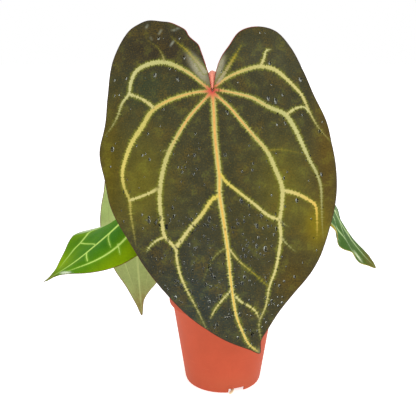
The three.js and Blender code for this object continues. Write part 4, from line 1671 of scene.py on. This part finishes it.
MAIN_FORM = LeafForm(
    junction=(-10.7, -6.7, 284.0),
    heading=(0.0, -0.415, -0.91),
    face=(0.0, -0.91, 0.415),
    length=236.0,
    half_width=105.0,
    bend=16.0,
    twist=0.0,
    curl_right=(14.0, 10.0),
    curl_left=(14.0, 10.0),
    quilt=1.6,
    wave=Wave(1.8, 9, 0.6),
    outline=(
        (0, 1), (1, -6), (3, -18), (8, -31), (14, -40), (24, -54), (39, -59), (57, -56), (71, -42),
        (82, -21), (92, 5), (104, 30), (110, 55), (111, 81), (108, 110), (100, 139), (88, 160),
        (72, 180), (59, 197), (50, 211), (43, 223), (42, 234), (32, 230), (7, 219), (-24, 198),
        (-59, 157), (-75, 133), (-89, 106), (-96, 82), (-101, 57), (-96, 29), (-95, 3), (-91, -28),
        (-76, -56), (-66, -63), (-58, -66), (-46, -65), (-38, -64), (-30, -60.5), (-24, -56.5),
        (-21, -51), (-12.5, -42.5), (-10, -36), (-7, -27), (-3, -14),
    ),
    veins=(
        Vein(((0, 2), (1, 18), (2, 40), (4, 60), (6, 79), (6, 92), (9, 112), (12, 132), (14, 149),
              (16, 169), (18, 184), (21, 200), (26, 213), (32, 225), (40, 232)), (2.5, 2.4, 1.0),
             tints=(MOSS, CREAM), core=0.95, core_end=1.1, fade=0.95, end_strength=0.6),
        Vein(((-2, 3), (-9, 11), (-20, 24), (-29, 38), (-38, 55), (-43, 70), (-46, 88), (-46, 103),
              (-44, 119), (-42, 129), (-36, 136), (-32, 141), (-31, 151), (-28, 164), (-22, 178),
              (-15, 191), (-5, 212)), (1.7, 2.1, 0.5), tints=(MOSS, CREAM), core=0.85, core_end=0.3),
        Vein(((-3, 1), (-14, 2), (-29, 6), (-42, 11), (-54, 19), (-62, 32), (-71, 46), (-77, 61),
              (-80, 74), (-78, 87), (-73, 98), (-72, 110), (-70, 123), (-67, 144)), (1.7, 2.3, 0.5),
             tints=(MOSS, (200, 184, 96)), core=0.7, core_end=0.35, fade=0.6, end_strength=0.0),
        Vein(((-3, -1), (-8, -5), (-20, -15), (-32, -22), (-43, -26), (-56, -25), (-68, -19), (-73, -9),
              (-75, 2), (-81, 10), (-85, 22), (-90, 32), (-96, 40)), (1.5, 2.3, 0.5),
             tints=(MOSS, SILVER), core=0.6, core_end=0.3, fade=0.7, end_strength=0.1),
        Vein(((-7, -17), (-12, -24), (-18, -31), (-24, -38), (-31, -44), (-37, -50)), (2.2, 1.1, 0.3),
             VeinOrder.BRANCH, (ASH, OCHRE), fade=0.5, end_strength=0.2),
        Vein(((2, 4), (15, 16), (26, 29), (37, 42), (48, 55), (55, 70), (61, 86), (61, 101), (59, 117),
              (60, 129), (58, 145), (55, 160), (50, 174), (47, 191), (41, 207), (43, 222)),
             (1.7, 2.1, 0.5), tints=(MOSS, CREAM), core=0.85, core_end=0.3, end_strength=0.3),
        Vein(((3, 0), (19, 3), (35, 7), (50, 15), (64, 21), (72, 32), (79, 46), (86, 61), (92, 72),
              (96, 84), (97, 102), (98, 120), (100, 139)), (1.6, 2.2, 0.3), tints=(MOSS, SILVER),
             core=0.6, core_end=0.3, fade=0.5, end_strength=0.0),
        Vein(((2, -3), (15, -12), (28, -18), (42, -22), (55, -20), (66, -12), (76, -2), (80, 3),
              (87, 19), (95, 32), (107, 44)), (1.4, 2.1, 0.4), tints=(MOSS, CREAM), core=0.5,
             core_end=0.3, fade=0.66, end_strength=0.1),
        Vein(((5, -6), (11, -16), (17, -26), (21, -33), (26, -42)), (2.0, 1.5, 0.4), VeinOrder.BRANCH,
             (ASH, OCHRE), fade=0.6, end_strength=0.3),
        Vein(((-73, 98), (-64, 95), (-54, 91), (-47, 87)), (1.5, 1.2, 1.6), VeinOrder.BRANCH,
             (CREAM, CREAM)),
        Vein(((-42, 130), (-50, 134), (-56, 140), (-58, 144)), (1.3, 1.0, 0.4), VeinOrder.BRANCH,
             (CREAM, SILVER)),
        Vein(((6, 94), (0, 97), (-9, 110), (-20, 123), (-28, 134), (-32, 139)), (1.9, 1.7, 2.0),
             VeinOrder.BRANCH, (GOLD, CREAM), fade=0.98),
        Vein(((-75, 2), (-65, 6), (-56, 12), (-52, 16)), (1.6, 1.3, 1.7), VeinOrder.BRANCH,
             (SILVER, CREAM), fade=0.98),
        Vein(((-43, -26), (-44, -31), (-49, -40), (-58, -47)), (1.2, 0.5, 0.3), VeinOrder.THREAD,
             (CREAM, OCHRE), fade=0.1, end_strength=0.3),
        Vein(((43, -23), (46, -30), (48, -37), (53, -39)), (1.5, 1.2, 0.8), VeinOrder.BRANCH,
             (CREAM, SILVER)),
        Vein(((65, 22), (70, 18), (75, 15), (82, 14), (87, 19)), (1.6, 1.2, 1.0), VeinOrder.BRANCH,
             (CREAM, SILVER), fade=0.98),
        Vein(((61, 89), (74, 92), (86, 98), (91, 102), (93, 116), (93, 133)), (1.9, 1.6, 0.4),
             VeinOrder.BRANCH, (CREAM, AMBER), fade=0.5, end_strength=0.1),
        Vein(((60, 116), (63, 119), (67, 121)), (1.1, 0.5, 0.3), VeinOrder.THREAD, (SILVER, SILVER),
             fade=0.4),
        Vein(((60, 129), (63, 134), (67, 138), (74, 144)), (1.3, 0.7, 0.3), VeinOrder.THREAD,
             (SILVER, SILVER), fade=0.4),
        Vein(((6, 74), (11, 81), (23, 91), (36, 101), (50, 112), (59, 115)), (1.5, 1.3, 1.6),
             VeinOrder.BRANCH, (GOLD, CREAM), fade=0.98),
        Vein(((15, 141), (23, 151), (36, 162), (49, 174)), (0.9, 0.6, 0.4), VeinOrder.BRANCH,
             (CREAM, OCHRE), fade=0.2, end_strength=0.55),
        Vein(((19, 181), (25, 187), (32, 191), (38, 196), (41, 203)), (1.3, 1.0, 0.8), VeinOrder.BRANCH,
             (SILVER, CREAM)),
        Vein(((16, 177), (8, 186), (2, 194), (-2, 202)), (1.1, 0.9, 0.6), VeinOrder.BRANCH,
             (SILVER, CREAM)),
        Vein(((13, 138), (2, 147), (-5, 160), (-9, 171)), (0.7, 0.5, 0.3), VeinOrder.THREAD,
             (MOSS, MOSS), fade=0.0, end_strength=0.2),
        Vein(((-38, 55), (-42, 54), (-45, 57)), (0.9, 0.6, 0.3), VeinOrder.THREAD, (CREAM, MOSS),
             fade=0.2),
        Vein(((48, 54), (60, 53), (74, 55), (84, 58)), (0.8, 0.7, 0.5), VeinOrder.THREAD, (OCHRE, OCHRE),
             fade=0.0, end_strength=0.2),
    ),
)

LEFT_FORM = LeafForm(
    junction=(-56.2, 41.7, 193.3),
    heading=(-0.62, -0.372, -0.69),
    face=(-0.66, -0.229, 0.716),
    length=155.0,
    half_width=55.0,
    bend=-19.0,
    twist=-7.0,
    curl_right=(50.0, 35.0),
    curl_left=(90.0, -70.0),
    quilt=1.3,
    wave=Wave(0.8, 5, 1.1),
    outline=(
        (0, 1), (4, -16), (15, -31), (30, -34), (44, -22), (52, 4), (55, 42), (54, 79), (48, 101),
        (35, 121), (21, 133), (9, 142), (4, 149), (-1, 156), (-5, 148), (-12, 140), (-24, 130),
        (-35, 120), (-47, 110), (-57, 100), (-61, 88), (-60, 55), (-55, 24), (-46, -8), (-33, -27),
        (-17, -30), (-5, -17),
    ),
    veins=(
        Vein(((0, 4), (0, 50), (1, 95), (3, 125), (-1, 152)), (2.7, 2.4, 0.8), tints=(LIME, LIME)),
        Vein(((2, 4), (16, 24), (25, 55), (30, 86), (27, 106), (18, 125), (8, 139)), (1.7, 1.6, 0.6),
             VeinOrder.BRANCH, (LIME, LIME)),
        Vein(((-2, 4), (-18, 22), (-36, 50), (-47, 72), (-50, 86), (-41, 94), (-33, 103), (-28, 112),
              (-22, 120), (-17, 127), (-10, 135)), (1.7, 1.6, 0.6), VeinOrder.BRANCH, (LIME, LIME)),
        Vein(((4, 1), (22, 2), (38, 16), (47, 42), (50, 66)), (1.0, 0.8, 0.3), VeinOrder.BRANCH,
             (LIME, LIME)),
        Vein(((-4, 1), (-20, 2), (-38, 14), (-48, 38), (-54, 62)), (1.0, 0.8, 0.3), VeinOrder.BRANCH,
             (LIME, LIME)),
        Vein(((0, 77), (6, 82), (26, 89)), (0.7, 0.6, 0.4), VeinOrder.BRANCH, (LIME, LIME)),
        Vein(((2, 107), (10, 110), (20, 113)), (0.8, 0.7, 0.6), VeinOrder.BRANCH, (LIME, LIME),
             fade=0.98),
        Vein(((-33, 103), (-26, 101), (-19, 99), (-7, 96), (0, 96)), (0.9, 0.7, 0.5), VeinOrder.BRANCH,
             (LIME, LIME), fade=0.98),
        Vein(((28, 82), (41, 88)), (0.8, 0.6, 0.3), VeinOrder.BRANCH, (LIME, LIME)),
    ),
)

RIGHT_FORM = LeafForm(
    junction=(90.0, 19.2, 213.4),
    heading=(0.23, 0.29, -1.0),
    face=(1.0, -0.2, 0.24),
    length=142.0,
    half_width=44.0,
    bend=-32.0,
    twist=11.0,
    curl_right=(5.0, 20.0),
    curl_left=(0.0, 20.0),
    quilt=1.2,
    wave=Wave(2.4, 8, 0.66),
    outline=(
        (0, 1), (4, -14), (13, -27), (26, -29), (37, -18), (43, 6), (45, 36), (41, 66), (33, 94),
        (24, 116), (14, 130), (0, 142), (-13, 124), (-23, 109), (-30, 95), (-38, 80), (-43, 62),
        (-44, 36), (-43, 6), (-37, -18), (-26, -29), (-13, -27), (-4, -14),
    ),
    veins=(
        Vein(((0, 4), (0, 60), (0, 110), (0, 139)), (1.7, 1.5, 0.5), tints=(MINT, MINT)),
        Vein(((2, 4), (14, 22), (23, 52), (22, 84), (10, 118)), (1.1, 0.9, 0.4), VeinOrder.BRANCH,
             (MINT, MINT)),
        Vein(((-2, 4), (-14, 22), (-23, 52), (-22, 84), (-10, 118)), (1.1, 0.9, 0.4), VeinOrder.BRANCH,
             (MINT, MINT)),
        Vein(((4, 1), (20, 2), (34, 18), (38, 44), (34, 72)), (0.9, 0.7, 0.3), VeinOrder.BRANCH,
             (MINT, MINT)),
        Vein(((-4, 1), (-20, 2), (-34, 18), (-38, 44), (-34, 72)), (0.9, 0.7, 0.3), VeinOrder.BRANCH,
             (MINT, MINT)),
        Vein(((0, 60), (11, 66), (23, 78)), (0.7, 0.6, 0.3), VeinOrder.BRANCH, (MINT, MINT)),
        Vein(((0, 72), (-11, 78), (-22, 88)), (0.7, 0.6, 0.3), VeinOrder.BRANCH, (MINT, MINT)),
    ),
)

BACK_FORM = LeafForm(
    junction=(-99.8, 110.0, 202.7),
    heading=(0.06, -0.2, -1.0),
    face=(-0.45, 0.85, -0.1),
    length=174.0,
    half_width=42.0,
    bend=11.0,
    twist=0.0,
    curl_right=(20.0, 10.0),
    curl_left=(20.0, 10.0),
    quilt=1.2,
    wave=Wave(1.0, 5, 2.0),
    outline=(
        (0, 1), (4, -16), (10, -28), (16, -31), (22, -20), (25, 4), (28, 22), (31, 37), (37, 54),
        (39, 74), (36, 98), (29, 121), (17, 142), (8, 162), (3, 175), (-2, 159), (-10, 150),
        (-18, 143), (-31, 121), (-38, 96), (-40, 64), (-38, 32), (-35, 2), (-30, -24), (-21, -34),
        (-11, -30), (-4, -16),
    ),
    veins=(
        Vein(((0, 4), (0, 60), (1, 120), (3, 171)), (1.8, 1.5, 0.6), tints=(STRAW, STRAW)),
        Vein(((2, 4), (13, 26), (20, 62), (18, 104), (8, 146)), (1.1, 0.9, 0.4), VeinOrder.BRANCH,
             (STRAW, STRAW)),
        Vein(((-2, 4), (-13, 26), (-20, 62), (-18, 104), (-6, 142)), (1.1, 0.9, 0.4), VeinOrder.BRANCH,
             (STRAW, STRAW)),
        Vein(((4, 1), (14, 4), (20, 22), (28, 54), (29, 88)), (0.9, 0.7, 0.3), VeinOrder.BRANCH,
             (STRAW, STRAW)),
        Vein(((-4, 1), (-18, 2), (-28, 20), (-32, 52), (-29, 88)), (0.9, 0.7, 0.3), VeinOrder.BRANCH,
             (STRAW, STRAW)),
        Vein(((0, 70), (10, 78), (20, 92)), (0.7, 0.6, 0.3), VeinOrder.BRANCH, (STRAW, STRAW)),
        Vein(((0, 82), (-10, 90), (-20, 104)), (0.7, 0.6, 0.3), VeinOrder.BRANCH, (STRAW, STRAW)),
    ),
)

BLADES = (
    Blade(
        name="blade_main",
        slot="velvet_blade",
        form=MAIN_FORM,
        panel=(58, 57, 38),
        patches=(
            Patch((-45, -38), (42, 26), (52, 44, 32)),
            Patch((-60, -2), (24, 18), (54, 62, 40)),
            Patch((52, -32), (34, 18), (70, 70, 50), 0.6),
            Patch((-62, 84), (24, 44), (100, 94, 26)),
            Patch((62, 88), (26, 40), (98, 92, 28)),
            Patch((102, 60), (12, 60), (84, 68, 24), 0.9),
            Patch((92, 122), (12, 20), (122, 108, 10), 0.9),
            Patch((-92, 70), (12, 60), (86, 76, 16), 0.9),
            Patch((-10, 185), (44, 46), (48, 54, 48), 0.95),
            Patch((72, 165), (20, 26), (74, 62, 24)),
            Patch((-52, 146), (30, 20), (50, 50, 40), 0.85),
            Patch((24, 110), (20, 60), (60, 58, 34), 0.7),
            Patch((-12.5, -20), (5.2, 17), ASH, 0.9, -32, 1.8),
            Patch((5.5, -19), (3.6, 13), ASH, 0.9, 18, 1.8),
            Patch((0, 0), (3.4, 3.4), (196, 64, 68), 0.95, 0, 2.0),
            # Painted highlights: short pale streaks of light reflected near the tops of the lobes
            Patch((-59, -60), (0.7, 3.2), (142, 148, 130), 0.7, 12, 2.0),
            Patch((-55, -48), (0.6, 2.2), (134, 140, 122), 0.6, -20, 2.0),
            Patch((-47, -54), (0.7, 3.6), (142, 148, 130), 0.7, 20, 2.0),
            Patch((-36, -43), (0.8, 4.0), (150, 154, 138), 0.7, 24, 2.0),
            Patch((-33, -57), (3.4, 0.8), (140, 146, 130), 0.7, -14, 2.0),
            Patch((43, 233), (4, 4), (120, 118, 104), 0.9),
        ),
        upper=LeafFinish(
            fringe=(118, 122, 34),
            speck=(112, 92, 26),
            roughness=0.6,
            specular=0.06,
            sheen=0.02,
            speck_share=0.4,
            grain=0.8,
            feather=3.0,
            blotch=(98, 80, 26),
            blotch_share=0.36,
            moss_share=0.2,
            margin_width=0.8,
        ),
        lower=UndersideFinish(panel=(108, 98, 62), vein=(160, 138, 96)),
        rim=(74, 40, 24),
        sinus=(170, 60, 46),
        collar=(196, 64, 68),
        collar_reach=7.0,
    ),
    Blade(
        name="blade_left",
        slot="young_blade",
        form=LEFT_FORM,
        panel=(80, 130, 12),
        patches=(
            Patch((0, 60), (14, 80), (52, 116, 22), 0.7),
            Patch((-30, 84), (14, 14), (54, 122, 26), 0.6),
            Patch((14, 84), (12, 26), (46, 112, 22), 0.6),
            Patch((46, 80), (14, 70), (128, 156, 2), 0.85),
            Patch((-56, 70), (12, 60), (126, 166, 8), 0.8),
            Patch((-20, 132), (24, 14), (136, 166, 4), 0.8),
            # Painted highlights: a pale glint near the tip and a pale band of reflected light along the
            # rolled upper edge
            Patch((13, 135), (2.0, 8), (236, 242, 222), 0.9, 66, 2.0),
            Patch((-57, 80), (4.5, 22), (224, 236, 204), 0.8, 4, 2.0),
            Patch((0, 153), (9, 11), (112, 96, 20), 0.95),
        ),
        upper=LeafFinish(
            fringe=(132, 184, 50),
            speck=(110, 152, 22),
            feather=0.8,
            roughness=0.55,
            sheen=0.0,
            specular=0.02,
            grain=0.4,
        ),
        lower=UndersideFinish(panel=(112, 146, 70), vein=(158, 180, 96)),
        rim=(108, 84, 26),
        sinus=(108, 84, 26),
    ),
    Blade(
        name="blade_right",
        slot="grey_green_blade",
        form=RIGHT_FORM,
        panel=(66, 98, 38),
        patches=(
            Patch((0, 50), (60, 34), (86, 116, 66), 0.7),
            Patch((-26, 84), (14, 24), (62, 92, 34), 0.7),
            # Painted highlights: pale streaks of reflected light near the upper margin and along a fold
            Patch((-14, 110), (2.2, 8), (224, 228, 190), 0.8, 0, 2.0),
            Patch((10, 88), (2.4, 16), (206, 214, 160), 0.6, 55, 2.0),
            Patch((-42, 52), (4, 10), (190, 164, 48), 0.8, 0, 2.0),
            Patch((0, 134), (16, 16), (104, 94, 30), 0.9),
        ),
        upper=LeafFinish(
            fringe=(128, 160, 92),
            speck=(90, 120, 60),
            feather=0.7,
            roughness=0.55,
            sheen=0.0,
            specular=0.02,
            grain=0.6,
        ),
        lower=UndersideFinish(panel=(108, 128, 70), vein=(150, 162, 98)),
        rim=(176, 160, 84),
        sinus=(176, 160, 84),
    ),
    Blade(
        name="blade_back",
        slot="olive_blade",
        form=BACK_FORM,
        panel=(112, 124, 56),
        patches=(Patch((0, 165), (14, 16), (120, 98, 48), 0.8),),
        upper=LeafFinish(
            fringe=(140, 150, 76),
            speck=(120, 128, 60),
            feather=0.8,
            grain=0.35,
            specular=0.15,
        ),
        lower=UndersideFinish(panel=(146, 160, 100), vein=(176, 188, 122), glow=0.25),
        under_patches=(
            # Painted light: a pale wash over the upper underside for light shining through the leaf
            Patch((0, 0), (60, 80), (212, 228, 146), 1.0),
            Patch((0, 165), (14, 16), (130, 108, 58), 0.8),
        ),
        rim=(118, 96, 48),
        sinus=(118, 96, 48),
    ),
)

# Skins, each with its tint at the foot, the middle and the head, and the tint of its flecks
SALMON = StalkFinish((168, 136, 92), (196, 132, 104), (244, 150, 124), (190, 92, 76))
GREEN = StalkFinish((150, 136, 84), (132, 156, 84), (150, 148, 90), (110, 92, 58))
CORK = StalkFinish((96, 84, 54), (118, 112, 66), (134, 132, 74), (80, 62, 42), 0.75, streak=0.5)
ROOT = StalkFinish((150, 126, 84), (172, 150, 110), (120, 96, 68), (104, 82, 58), 0.7)
PALE = StalkFinish((168, 136, 98), (214, 178, 136), (232, 204, 166), (158, 118, 84), 0.6)

JOINT = Swell(0.965, 0.035, 0.45)
FOOT_SWELL = Swell(0.0, 0.05, 0.5)
PETIOLES = {
    "petiole_main": (SALMON, "salmon_petiole", Stalk(
        ((1.5, 7.5, 86), (1, 11, 104), (-2, 19, 140), (-6, 24, 200), (-8.4, 22.4, 258), (-9.2, 18.2, 281),
         (-10, 15.4, 290.2), (-10.6, 10.4, 295.7), (-10.7, 4.8, 294.3), (-10.7, 1.1, 288.3),
         (-10.7, -2.5, 282.9)), (3.6, 3.2, 3.5), (Swell(0.93, 0.05, 0.3),))),
    "petiole_left": (GREEN, "green_petiole", Stalk(
        ((-5.3, 7, 86), (-9, 12, 104), (-22, 30, 140), (-37, 43, 170), (-46, 44.6, 184), (-52.6, 43, 190.4),
         (-55.8, 41.8, 193)), (2.6, 2.1, 2.4), (FOOT_SWELL, JOINT))),
    "petiole_right": (GREEN, "green_petiole", Stalk(
        ((6.3, 12.6, 86), (12, 14.5, 104), (38, 18, 146), (66, 21, 190), (77, 21.5, 208), (84, 20.6, 214.4),
         (89.5, 19.3, 213.8)), (2.6, 2.1, 2.4), (FOOT_SWELL, JOINT))),
    "petiole_back": (GREEN, "green_petiole", Stalk(
        ((-2.2, 15, 86), (-8, 30, 100), (-34, 70, 128), (-64, 96, 166), (-82, 99, 194), (-92, 102, 205),
         (-97, 106, 206), (-99.5, 109.6, 202.9)), (2.6, 2.1, 2.4), (FOOT_SWELL, JOINT))),
}
AERIAL_ROOTS = tuple(
    Stalk(path, (1.9, 1.9, 1.3), sides=16, wobble=0.08)
    for path in (
        ((-6, 8, 87), (-14, 4, 86), (-22, -4, 80), (-25, -9, 70), (-26, -11, 58)),
        ((4, 4, 86), (9, -3, 85.5), (14, -14, 81), (16, -20, 70), (16.5, -22, 58)),
        ((5, 15, 86), (13, 22, 86), (19, 30, 80), (21, 33, 70), (21.5, 34, 58)),
    )
)
ROOT_TIP = Stalk(
    ((8.5, -24, 18), (9.2, -27, 9), (9.3, -30, 4.4), (8.6, -33.5, 2.2), (8, -36.6, 1.9), (5.8, -40.6, 1.8)),
    (1.7, 1.6, 1.2), sides=20, step=0.7, wobble=0.07, head_share=0.3,
)


def main() -> None:
    """Build the whole plant and its room."""
    logging.basicConfig(level=logging.INFO, format="%(message)s")
    pot = Pot(PlasticFinish(body=(182, 80, 54), low_tint=(158, 88, 60), scuff=(206, 110, 78)))
    pot.build()
    Mix(BarkFinish((44, 32, 26)), pot).build()
    add_stalks("stem_trunk", (Trunk(), *AERIAL_ROOTS), (CORK, ROOT, ROOT, ROOT), "stem")
    add_stalks("root_tip_skin", (ROOT_TIP,), (PALE,), "root_tip")
    for name, (finish, slot, stalk) in PETIOLES.items():
        add_stalks(f"{name}_skin", (stalk,), (finish,), name)
    paper = PaperFinish(body=(154, 122, 78), blotch=(104, 74, 48))
    Cataphyll("cataphyll_1", 250, 34, 10, paper).build()
    Cataphyll("cataphyll_2", 338, 26, 16, paper).build()
    for blade in BLADES:
        blade.build()
    Drops(MAIN_FORM, WaterFinish()).build()
    Studio().build()


if __name__ == "__main__":
    main()
